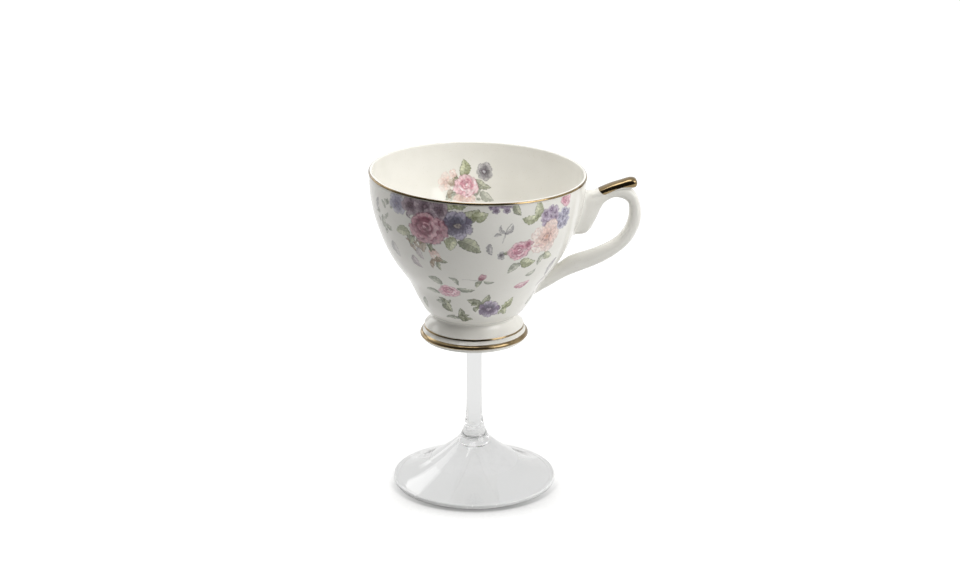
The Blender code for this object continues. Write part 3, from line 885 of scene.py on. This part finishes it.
def rose(p, angle, height, size, tones, turn, strength, seed, wide=1.08):
    """A full rose: ruffled outer petals, then lit crescents wound round a deep heart set to one side."""
    brush = Brush(p, angle, height, size * 1.45, strength)
    brush.u = brush.u / wide
    rng = np.random.default_rng(seed)
    dark, mid, light = tones
    for k in range(7):
        grow = size * rng.uniform(0.86, 1.1)
        shade = rng.uniform(0, 0.3)
        shades = [blend(t, dark, shade) for t in tones]
        way = turn + 360 / 7 * k + rng.uniform(-12, 12)
        petal(brush, (way, 0.56 * grow, 0.5 * grow, 0.44 * grow), shades, seed * 31 + k, 1.5)
    c, s = polar(0.14 * size, turn - 70)
    x, y = brush.u - s, brush.v - c
    far, way = np.hypot(x, y) / size, np.degrees(np.arctan2(x, y)) - turn
    brush.lay(0.85 * ease((0.66 - far) * 5 + 0.5), blend(mid, dark, 0.55))
    for k, (reach, deep, middle, half, lit) in enumerate(CRESCENTS):
        cloudy = brush.mottle(0.42 * size, seed * 23 + k) - 0.5
        off = np.abs((way - middle + 180) % 360 - 180) / half
        depth = reach + 0.10 * cloudy - 0.10 * off**2 - far
        inside = ease(depth / 0.05 + 0.5) * ease((deep - depth) / 0.10 + 0.5) * ease((1 - off) * 3)
        share = np.clip(lit * (1.15 - np.abs(depth / deep) ** 1.7) + 0.5 * cloudy, 0, 1)
        low, high = blend(dark, mid, 2 * share), blend(mid, light, 2 * share - 1)
        brush.lay(inside, np.where(share[..., None] < 0.5, low, high))
        brush.lay(0.5 * inside * ease(depth / deep * 2 - 1), dark)


def blossom(p, angle, height, size, tones, eye, turn, count, strength, seed, heart=0.5, pupil=0.11):
    """An open flower with rounded petals, a darker throat and stamens."""
    brush = Brush(p, angle, height, size * 1.3, strength)
    rng = np.random.default_rng(seed)
    for k in range(count):
        grow = size * rng.uniform(0.86, 1.1)
        way = turn + 360 * k / count + rng.uniform(-8, 8)
        shade = rng.uniform(0, 0.28)
        shades = [blend(t, tones[0], shade) for t in tones]
        petal(brush, (way, 0.52 * grow, 0.42 * grow, 0.46 * grow), shades, seed * 17 + k)
    far = np.hypot(brush.u, brush.v)
    brush.lay(heart * ease(1.5 - far / (0.24 * size)), tones[0])
    brush.lay(0.9 * ease(1.5 - far / (pupil * size)), eye)
    dot = 0.05 * size + 0.07
    for k in range(9):
        way, far = turn + 40 * k + rng.uniform(-8, 8), size * rng.uniform(0.14, 0.32)
        edge, _, _ = brush.oval(way, far, dot, dot)
        brush.lay(0.85 * ease(edge / 0.14 + 0.6), blend(tones[0], (90, 70, 80), 0.35))


def pansy(p, angle, height, size, tones, eye, turn, strength, seed):
    """Uneven petals, the upper ones darker, with deep gaps between them round a pale eye."""
    brush = Brush(p, angle, height, size * 1.4, strength)
    dark, mid, light = tones
    edge, _, _ = brush.oval(0, 0, 0.72 * size, 0.66 * size)
    brush.lay(0.9 * ease(edge / 0.5 + 0.4), dark)
    deep = (dark, blend(mid, dark, 0.5), mid)
    cool = (dark, blend(mid, (128, 138, 146), 0.45), light)
    plan = [(62, 0.60, 0.40, 0.46, deep), (-88, 0.56, 0.40, 0.44, deep), (-36, 0.62, 0.46, 0.44, cool)]
    plan += [(14, 0.58, 0.40, 0.44, cool), (104, 0.66, 0.38, 0.44, tones), (212, 0.56, 0.42, 0.44, deep)]
    plan += [(158, 0.62, 0.48, 0.46, tones)]
    for k, (way, far, across, along, shades) in enumerate(plan):
        petal(brush, (turn + way, far * size, across * size, along * size), shades, seed * 13 + k)
    edge, _, _ = brush.oval(turn + 150, 0.05 * size, 0.27 * size, 0.20 * size)
    brush.lay(0.85 * ease(edge / 0.3 + 0.9), dark)
    brush.lay(0.9 * ease(edge / 0.3 + 0.35), blend(eye, dark, 0.6 * brush.mottle(0.3 * size, seed)))


def florets(p, angle, height, size, tones, eye, count, strength, seed):
    """A head of small five-petalled flowers."""
    brush = Brush(p, angle, height, size * 1.3, strength)
    rng = np.random.default_rng(seed)
    edge, _, _ = brush.oval(0, 0, 0.85 * size, 0.85 * size)
    brush.lay(0.45 * ease(edge / (0.4 * size)), tones[1])
    for k in range(count):
        way = 2 * math.pi * k / (count - 1) + rng.uniform(-0.3, 0.3)
        far = size * (0.62 if k else 0.0)
        at = p.moved(angle, height, far * math.sin(way), far * math.cos(way))
        grow, turn = size * rng.uniform(0.42, 0.56), rng.uniform(0, 90)
        blossom(p, *at, grow, tones, eye, turn, 5, strength, seed * 11 + k)


def leaf(p, angle, height, turn, length, width, tones, seed, strength=0.92, bend=0.12):
    """A pointed leaf with a lit and a shaded half, veins and a broken drawn outline."""
    length, width = length * 1.08, width * 1.15
    brush = Brush(p, angle, height, length * 0.75, strength)
    dark, mid, light = tones
    x, y = brush.heading(turn)
    t = y / length + 0.5
    x = x - bend * length * (4 * t * (1 - t) - 0.5)
    inside = np.clip(t, 0, 1)
    fleck = brush.mottle(1.5, seed + 3)
    wide = width / 2 * np.sin(math.pi * inside**0.82) ** 0.8 * (0.98 + 0.10 * (fleck - 0.5))
    edge = np.where((t > 0) & (t < 1), wide - np.abs(x), -np.abs(x) - 0.4)
    side = ease(x / (0.5 * width) + 0.5)
    wash = ease(0.15 + side * 0.6 + 0.5 * (brush.mottle(width, seed) - 0.5))
    brush.lay(0.92 * ease(edge / 0.24 + 0.5), blend(light, mid, wash))
    brush.lay(0.34 * ease(edge / 0.3) * ease(side * 3 - 1.5) * ease(1.6 * fleck), dark)
    brush.lay(0.5 * ease(edge / 0.3) * ease(1.0 - t * 2.2), dark)
    ribs = np.sin(2 * math.pi * (t * 5.5 - np.abs(x) / width * 1.6))
    brush.lay(0.22 * ease(edge / 0.3) * ease(ribs * 2.2 - 1), dark)
    brush.lay(0.75 * ease(1.4 - np.abs(edge - 0.08) / 0.18) * ease(2.4 * fleck - 0.35), dark)
    brush.lay(0.6 * ease(1.4 - np.abs(x) / 0.15) * ease(edge / 0.2) * ease(8 * (0.95 - t)), dark)


def stroke(p, angle, height, path, width, colour, strength):
    """A fine brush line through points given in millimetres from a place."""
    path = smooth_line(path, 8)
    brush = Brush(p, angle, height, float(np.abs(path).max()) + 2 * width, strength)
    total = np.full(brush.u.shape, 1e9)
    for i, (x, y) in enumerate(path):
        taper = 0.45 + 0.55 * math.sin(math.pi * (0.08 + 0.84 * i / len(path)))
        total = np.minimum(total, np.hypot(brush.u - x, brush.v - y) / taper)
    brush.lay(ease(1.5 - total / (width / 2)), colour)


def bud(p, angle, height, turn, size, tones, greens, strength, seed):
    """A closed bud in its sepals."""
    brush = Brush(p, angle, height, size * 1.4, strength)
    plan = [(-20, 0.15, 0.30, 0.50), (22, 0.15, 0.30, 0.50), (0, 0.05, 0.32, 0.52)]
    for k, (way, far, across, along) in enumerate(plan):
        petal(brush, (turn + way, far * size, across * size, along * size), tones, seed * 5 + k, 2.0)
    c, s = polar(0.5 * size, turn)
    base = p.moved(angle, height, -s, -c)
    for way in (-32, 30):
        leaf(p, *base, turn + way, size * 0.75, size * 0.26, greens, seed + 40 + way, strength, 0.1)


def foliage(p, angle, height, reach, count, tones, strength, seed):
    """A loose clump of small leaves that fills in round the flowers."""
    rng = np.random.default_rng(seed)
    for k in range(count):
        way, far = rng.uniform(0, 2 * math.pi), reach * math.sqrt(rng.uniform(0.05, 1))
        at, level = p.moved(angle, height, far * math.sin(way), far * math.cos(way))
        level = float(np.clip(level, p.low + 1, p.high - 1))
        length = rng.uniform(2.0, 3.8)
        turn = math.degrees(way) + rng.uniform(-50, 50)
        width = length * rng.uniform(0.35, 0.6)
        leaf(p, at, level, turn, length, width, tones, seed * 7 + k, strength, 0.15)


# Tones of the print, dark, middle and light
ROSE = ((120, 68, 84), (172, 116, 130), (226, 190, 197))
DUSK = ((116, 100, 110), (158, 140, 149), (206, 191, 198))
BLUE = ((80, 74, 90), (125, 118, 138), (187, 181, 197))
LAVENDER = ((124, 120, 143), (172, 169, 188), (213, 211, 222))
LILAC = ((122, 104, 128), (172, 156, 178), (216, 206, 219))
PLUM = ((92, 78, 98), (142, 127, 150), (202, 192, 207))
PINK = ((168, 100, 119), (210, 158, 172), (243, 217, 222))
BLUSH = ((192, 128, 142), (226, 181, 190), (249, 229, 232))
PEACH = ((212, 176, 165), (238, 216, 207), (249, 237, 231))
OLIVE = ((84, 88, 68), (142, 146, 118), (196, 198, 170))
FRESH = ((104, 110, 77), (172, 176, 136), (219, 221, 190))
SAGE = ((112, 116, 101), (160, 164, 147), (208, 209, 195))
GREY = ((106, 102, 107), (158, 154, 157), (208, 205, 205))
BROWN = ((120, 100, 83), (172, 152, 131), (214, 200, 180))

# Each row of a spray: what is painted, degrees from the spray's place, height, and the rest that it takes.

# The full spray: rose, dusky flowers behind it, a pansy, buds and leaves
ROSE_SPRAY = [
    (leaf, -3.7, 55.9, 62, 8.6, 4.8, OLIVE, 2),
    (leaf, 1.6, 56.0, 78, 6.6, 4.0, FRESH, 3, 0.85),
    (leaf, -13.8, 43.0, 196, 6.4, 4.4, FRESH, 4, 0.9),
    (leaf, -3.6, 42.4, 118, 10.0, 5.4, OLIVE, 5, 0.95, -0.1),
    (leaf, -43.9, 44.6, 262, 7.6, 4.2, FRESH, 6, 0.75),
    (leaf, -38.4, 41.6, 215, 5.4, 3.2, OLIVE, 7, 0.85),
    (leaf, -31.0, 39.6, 190, 5.0, 3.0, BROWN, 8, 0.75),
    (leaf, -38.6, 31.6, 152, 6.6, 3.2, DUSK, 9, 0.55, 0.16),
    (leaf, -34.0, 36.2, 165, 6.0, 2.6, DUSK, 10, 0.42, 0.2),
    (bud, -24.6, 37.4, 158, 5.6, PEACH, OLIVE, 0.85, 11),
    (leaf, -20.6, 34.6, 112, 5.4, 1.9, OLIVE, 12, 0.85),
    (leaf, -27.0, 32.0, 186, 4.6, 1.5, BROWN, 13, 0.8),
    (leaf, -22.8, 31.8, 170, 5.0, 1.7, OLIVE, 14, 0.8),
    (leaf, -14.6, 60.0, 100, 7.0, 3.2, FRESH, 15, 0.85),
    (leaf, -8.4, 60.2, 78, 6.4, 3.0, FRESH, 16, 0.85),
    (foliage, -61.0, 46.0, 5.0, 9, SAGE, 0.6, 28),
    (foliage, -55.0, 53.0, 3.6, 5, SAGE, 0.6, 29),
    (foliage, -40.6, 55.0, 4.0, 7, DUSK, 0.7, 23),
    (foliage, -14.0, 57.0, 3.4, 5, OLIVE, 0.7, 24),
    (foliage, -36.5, 41.0, 3.6, 7, BROWN, 0.75, 25),
    (foliage, -26.0, 35.0, 3.0, 5, BROWN, 0.7, 26),
    (blossom, -46.4, 56.2, 5.4, LAVENDER, (150, 140, 150), 10, 6, 0.72, 17),
    (blossom, -36.4, 57.2, 4.8, DUSK, (96, 80, 84), 10, 6, 0.95, 18),
    (blossom, -28.2, 57.6, 4.8, DUSK, (150, 130, 138), 34, 6, 0.95, 27),
    (blossom, -20.0, 57.2, 4.6, DUSK, (120, 100, 108), 50, 6, 0.95, 19),
    (blossom, -24.8, 54.6, 3.4, DUSK, (170, 150, 160), 30, 5, 0.9, 20),
    (pansy, -10.4, 51.6, 6.0, BLUE, (196, 184, 168), 8, 0.97, 21),
    (rose, -26.9, 48.4, 7.4, ROSE, 0, 0.98, 22, 1.14),
]

# The lighter spray: an open blossom, a pink rosebud, lilac heads and fresh leaves
BLOSSOM_SPRAY = [
    (leaf, -11.7, 53.6, 88, 7.6, 3.5, FRESH, 31, 0.88),
    (leaf, -8.0, 57.2, 6, 7.4, 3.8, FRESH, 32, 0.85),
    (leaf, 5.6, 34.8, 120, 6.0, 3.2, FRESH, 33, 0.72),
    (leaf, 0.6, 33.6, 200, 5.6, 2.4, SAGE, 34, 0.85),
    (leaf, -9.0, 33.4, 100, 7.2, 4.4, FRESH, 35, 0.95),
    (leaf, -17.6, 31.4, 222, 6.6, 3.0, SAGE, 36, 0.85),
    (florets, 10.6, 50.8, 4.9, LAVENDER, (212, 208, 222), 8, 0.85, 37),
    (florets, 0.4, 53.2, 4.7, LILAC, (215, 204, 220), 8, 0.88, 38),
    (rose, 11.8, 58.6, 3.2, PINK, 0, 0.9, 39),
    (blossom, 0.2, 44.0, 8.0, PEACH, (206, 160, 140), 14, 5, 0.95, 40, 0.2),
    (stroke, -8.0, 40.8, [(-1.4, -0.6), (1.6, 0.0), (4.6, -0.5)], 0.4, (196, 120, 140), 0.7),
    (rose, -16.2, 39.4, 4.3, PINK, 25, 0.95, 41),
    (blossom, -11.6, 42.0, 2.5, PINK, (170, 90, 120), 10, 5, 0.85, 42),
]

# Scattered sprigs between the sprays and the low garland above the foot
SMALL_SPRAYS = [
    (stroke, 15.2, 48.2, [(-0.9, -4.4), (-0.2, -1.0), (0.7, 2.2), (2.6, 4.2)], 0.55, (150, 146, 146), 0.8),
    (leaf, 17.4, 49.6, 38, 5.0, 1.7, GREY, 51, 0.72, 0.2),
    (leaf, 13.4, 49.8, 330, 4.4, 1.4, GREY, 52, 0.65, -0.2),
    (leaf, 11.2, 47.6, 262, 3.0, 1.3, GREY, 53, 0.6),
    (leaf, 7.4, 41.0, 168, 5.2, 2.4, GREY, 54, 0.85),
    (blossom, 14.2, 38.0, 2.0, GREY, (88, 82, 98), 0, 5, 0.9, 55),
    (leaf, 18.0, 39.4, 66, 3.6, 1.7, OLIVE, 56, 0.8),
    (florets, 9.4, 60.0, 3.0, PLUM, (196, 184, 200), 5, 0.7, 57),
    (florets, 14.8, 60.2, 3.2, PLUM, (196, 184, 200), 5, 0.7, 91),
    (leaf, 20.8, 58.0, 148, 5.6, 2.8, OLIVE, 58, 0.88),
    (leaf, 38.0, 27.4, 55, 5.0, 2.2, SAGE, 59, 0.6),
    (leaf, 35.6, 21.6, 64, 6.6, 3.7, PINK, 60, 0.95),
    (leaf, 57.4, 27.0, 186, 9.0, 3.0, GREY, 61, 0.7),
    (leaf, 58.8, 20.0, 190, 6.0, 2.0, DUSK, 62, 0.55),
    (leaf, 64.0, 10.4, 20, 6.5, 2.6, SAGE, 63, 0.75),
    (leaf, -28.4, 23.8, 300, 6.4, 3.4, SAGE, 64, 0.92),
    (leaf, -36.0, 17.2, 278, 6.0, 2.6, SAGE, 65, 0.92),
    (leaf, -14.2, 24.8, 318, 5.2, 1.9, SAGE, 66, 0.9, 0.2),
    (leaf, -6.8, 20.2, 92, 7.0, 2.8, SAGE, 67, 0.95),
    (rose, -20.4, 18.4, 4.2, PINK, 40, 0.95, 68),
    (stroke, 1.0, 25.6, [(-6.0, 0.5), (-2.0, 0.4), (2.0, -0.2), (5.2, -1.0)], 0.4, (140, 136, 130), 0.75),
    (leaf, 1.8, 23.6, 200, 4.4, 2.2, OLIVE, 69, 0.8),
    (leaf, 9.0, 24.6, 96, 4.2, 1.7, SAGE, 70, 0.9),
    (bud, 4.0, 26.8, 20, 3.8, ROSE, SAGE, 0.7, 71),
    (leaf, -25.6, 10.4, 160, 7.0, 3.6, OLIVE, 72, 0.9),
    (leaf, -31.6, 11.6, 285, 4.6, 2.2, SAGE, 73, 0.9),
    (leaf, -13.4, 7.2, 8, 5.6, 2.4, OLIVE, 74, 0.9),
    (leaf, -9.6, 4.6, 100, 6.0, 2.4, OLIVE, 75, 0.9),
    (leaf, -23.4, 4.4, 268, 6.0, 1.8, SAGE, 76, 0.9),
    (stroke, -16.0, 5.0, [(-4.5, 0.2), (-1.0, -0.3), (2.0, -0.2), (5.0, 0.2)], 0.4, (120, 118, 100), 0.8),
    (leaf, -0.2, 13.2, 300, 6.6, 3.2, OLIVE, 77, 0.9),
    (leaf, 9.4, 15.0, 22, 6.2, 2.4, OLIVE, 78, 0.9),
    (leaf, 31.4, 11.8, 30, 6.6, 3.2, FRESH, 79, 0.9),
    (leaf, 29.6, 8.2, 160, 4.8, 2.6, FRESH, 80, 0.85),
    (stroke, 20.0, 7.0, [(-3.0, 0.0), (0.0, -0.6), (3.2, -0.2)], 0.4, (150, 130, 150), 0.8),
    (foliage, 6.0, 12.0, 3.4, 6, OLIVE, 0.8, 86),
    (foliage, 28.0, 10.0, 3.0, 5, FRESH, 0.8, 87),
    (foliage, -16.0, 5.6, 3.4, 5, OLIVE, 0.8, 88),
    (foliage, -27.0, 11.4, 2.6, 4, OLIVE, 0.8, 89),
    (pansy, 13.4, 9.8, 4.5, PLUM, (206, 194, 208), 24, 0.97, 81),
    (leaf, -54.6, 8.6, 196, 6.4, 2.4, SAGE, 82, 0.8),
    (leaf, -65.4, 51.8, 190, 6.6, 2.4, GREY, 83, 0.75),
    (leaf, -60.3, 44.6, 160, 6.8, 3.4, SAGE, 84, 0.75),
    (leaf, -55.7, 34.2, 165, 7.0, 4.4, GREY, 85, 0.5),
]

# A small spray for the side across from the handle
SIDE_SPRAY = [
    (leaf, -7.0, 47.0, 300, 6.4, 3.2, FRESH, 121, 0.85),
    (leaf, 6.6, 45.0, 110, 6.8, 3.4, OLIVE, 122, 0.9),
    (leaf, -3.0, 40.6, 215, 6.0, 2.8, SAGE, 123, 0.85),
    (florets, 4.4, 50.6, 3.8, LAVENDER, (212, 208, 222), 6, 0.85, 124),
    (rose, 0, 46.0, 4.6, PINK, 20, 0.95, 125),
    (bud, 3.0, 38.4, 165, 4.4, BLUSH, SAGE, 0.85, 126),
    (leaf, -9.0, 24.0, 290, 5.6, 2.4, SAGE, 127, 0.8),
    (blossom, -3.4, 22.4, 2.9, LILAC, (205, 190, 210), 0, 5, 0.9, 128),
    (leaf, 5.6, 21.0, 95, 5.6, 2.4, OLIVE, 129, 0.85),
    (leaf, 0.6, 10.6, 20, 5.6, 2.4, SAGE, 130, 0.85),
]

# The single spray on the inside of the far wall
INNER_SPRAY = [
    (leaf, -172.3, 50.4, 4, 7.4, 4.2, FRESH, 101, 0.9),
    (leaf, 176.6, 43.4, 112, 7.4, 3.2, OLIVE, 102, 0.75),
    (leaf, 173.6, 38.6, 120, 6.4, 3.2, SAGE, 103, 0.65),
    (leaf, -163.4, 38.2, 236, 7.0, 3.2, SAGE, 104, 0.8),
    (leaf, -170.0, 32.6, 190, 8.0, 3.6, FRESH, 105, 0.85),
    (bud, -166.2, 47.6, 330, 3.8, PEACH, OLIVE, 0.75, 106),
    (blossom, -160.6, 45.0, 4.2, PEACH, (214, 182, 176), 0, 5, 0.4, 107, 0.2),
    (blossom, 175.6, 49.0, 3.9, GREY, (226, 225, 230), 12, 7, 0.85, 108, 0.9, 0.18),
    (rose, -172.4, 37.2, 4.4, PEACH, 60, 0.5, 109),
    (foliage, -178.0, 39.0, 3.2, 5, SAGE, 0.7, 111),
    (foliage, -163.0, 42.0, 3.4, 5, BROWN, 0.55, 112),
    (rose, -172.7, 42.8, 4.9, BLUSH, 100, 0.97, 110),
]


def lay_spray(p, at, spray):
    for paint, angle, *rest in spray:
        paint(p, at + angle, *rest)


def build_print():
    outside = Print(OUTER, 2.6, 60.1, 1)
    for at in (0, 180):
        lay_spray(outside, at, SMALL_SPRAYS)
    for at in (0, 180):
        lay_spray(outside, at, ROSE_SPRAY)
        lay_spray(outside, at + 41, BLOSSOM_SPRAY)
    lay_spray(outside, -94, SIDE_SPRAY)
    outside.weather(201)
    outside.piece("printed_flowers")
    inside = Print(INNER, 26, 58, -1)
    lay_spray(inside, 0, INNER_SPRAY)
    inside.weather(301)
    inside.piece("printed_inner_spray")


# Studio, in metres
SENSOR, LENS = 36, 90
CAMERA_AT = ((AXIS_X + 2.5) * MM, -0.9535, 0.4175)
CAMERA_DIP = 19.22  # degrees below level
FLOOR_LIFT = 0.46  # glow of the floor near the cup as the camera sees it
GLOSS_LIFT = 0.33  # as reflections see it
THROUGH_LIFT = 0.58  # as it is seen through glass
THROUGH_WORLD = 0.75  # glow of the room as it is seen through glass
SHADE_REACH = 0.05  # how far the shade at the foot goes
TABLE = [(0.90, -0.83), (3.2, 2.9), (-0.6, 5.3), (-3.6, 1.9)]
WORLD_AIM = (0.3, 1.0, 0.5)
WORLD_RANGE = (0.03, 0.92, -0.75, 0.6)  # levels, and where along the aim they are reached
LAMPS = [  # name, place, what it faces, width, height, glow
    ("back_left_softbox", (-0.615, 0.594, 0.692), (0, 0, 0.005), 0.62, 0.31, 1.6),
    ("low_left_softbox", (-0.83, 0.83, 0.26), (0, 0, 0.03), 0.75, 0.32, 1.2),
    ("right_softbox", (0.86, -0.50, 0.68), (0, 0, 0.10), 0.70, 0.70, 3.6),
    ("top_softbox", (-0.10, -0.26, 1.13), (0, 0, 0.10), 0.60, 0.60, 3.75),
]


def build_camera():
    camera = bpy.data.cameras.new("camera")
    camera.sensor_width = SENSOR
    camera.lens = LENS
    camera.clip_start = 0.01
    viewer = put("camera", camera)
    viewer.location = CAMERA_AT
    viewer.rotation_euler = (math.radians(90 - CAMERA_DIP), 0, 0)
    scene = bpy.context.scene
    scene.camera = viewer
    scene.view_settings.view_transform = "Standard"


def build_world():
    """A room that is dark on the viewer's side and bright behind and overhead. The camera sees white."""
    world = bpy.data.worlds.new("studio")
    bpy.context.scene.world = world
    n = Nodes(world, "Background", "Generated")
    facing = n.add("VectorMath", "Value", {0: n.where, 1: WORLD_AIM}, operation="DOT_PRODUCT")
    camera_ray, through_ray = n.rays("Camera", "Transmission")
    strength = n.span(facing, *WORLD_RANGE, "SMOOTHSTEP")
    strength = n.mix(through_ray, strength, THROUGH_WORLD, "FLOAT")
    strength = n.mix(camera_ray, strength, 1.0, "FLOAT")
    n.set(Strength=strength, Color=(1, 0.995, 0.985, 1))


def build_floor():
    mesh = bpy.data.meshes.new("floor")
    mesh.from_pydata([(x, y, 0) for x, y in TABLE], [], [[0, 1, 2, 3]])
    floor = put("floor", mesh)
    n = material("pale_floor")
    camera_ray, gloss_ray, through_ray = n.rays("Camera", "Glossy", "Transmission")

    # A painted shadow close to the foot: ambient occlusion darkens the floor's colour and its glow there,
    # mostly in front of it.
    touch = n.add("AmbientOcclusion", "AO", {"Distance": SHADE_REACH}, samples=32)
    near = n.span(touch, 1.0, 0.0, 0.905, 0.992)
    front = n.span(n.add("SeparateXYZ", "Y", {"Vector": n.where}), 0.05, 1.0, 0.0, -0.033)
    dim = n.combine("MULTIPLY", near, front)
    plain = n.ramp(n.noise(8, 2), (0.3, (0.645, 0.645, 0.641)), (0.7, (0.657, 0.657, 0.653)))
    shade = n.ramp(dim, (0.0, (1, 1, 1)), (1.0, (0.5, 0.5, 0.505)))
    colour = n.mix(camera_ray, plain, shade, blend="MULTIPLY")
    colour = n.mix(through_ray, colour, (0.2, 0.2, 0.2, 1))

    # The camera sees the floor rise to white far off, and gloss and glass see it at levels of their own.
    away = n.add("VectorMath", "Value", {0: n.where}, operation="LENGTH")
    rise = n.span(away, FLOOR_LIFT, 1.0, 0.8, 2.4)
    bright = n.combine("MULTIPLY", n.span(dim, 1.0, 0.0, 0.0, 1.0), rise)
    lift = n.mix(camera_ray, GLOSS_LIFT, bright, "FLOAT")
    lift = n.mix(through_ray, lift, THROUGH_LIFT, "FLOAT")
    seen = n.combine("MAXIMUM", n.combine("MAXIMUM", camera_ray, gloss_ray), through_ray)
    n.set(Base_Color=colour, Roughness=0.9, Specular_IOR_Level=0.1)
    n.set(Emission_Color=(1, 1, 1, 1), Emission_Strength=n.combine("MULTIPLY", seen, lift))
    mesh.materials.append(n.look)


def build_lamps():
    for name, place, target, width, height, glow in LAMPS:
        lamp = bpy.data.lights.new(name, "AREA")
        lamp.shape = "RECTANGLE"
        lamp.size, lamp.size_y = width, height
        lamp.energy = glow * math.pi * width * height
        holder = put(name, lamp)
        holder.location = place
        aim = spot(*target) - spot(*place)
        flat = math.hypot(aim[0], aim[1])
        holder.rotation_euler = (math.atan2(flat, -aim[2]), 0, math.atan2(-aim[0], aim[1]))
        holder.visible_camera = False


build_bowl()
build_foot()
build_handle()
build_glass()
build_print()
build_camera()
build_world()
build_floor()
build_lamps()
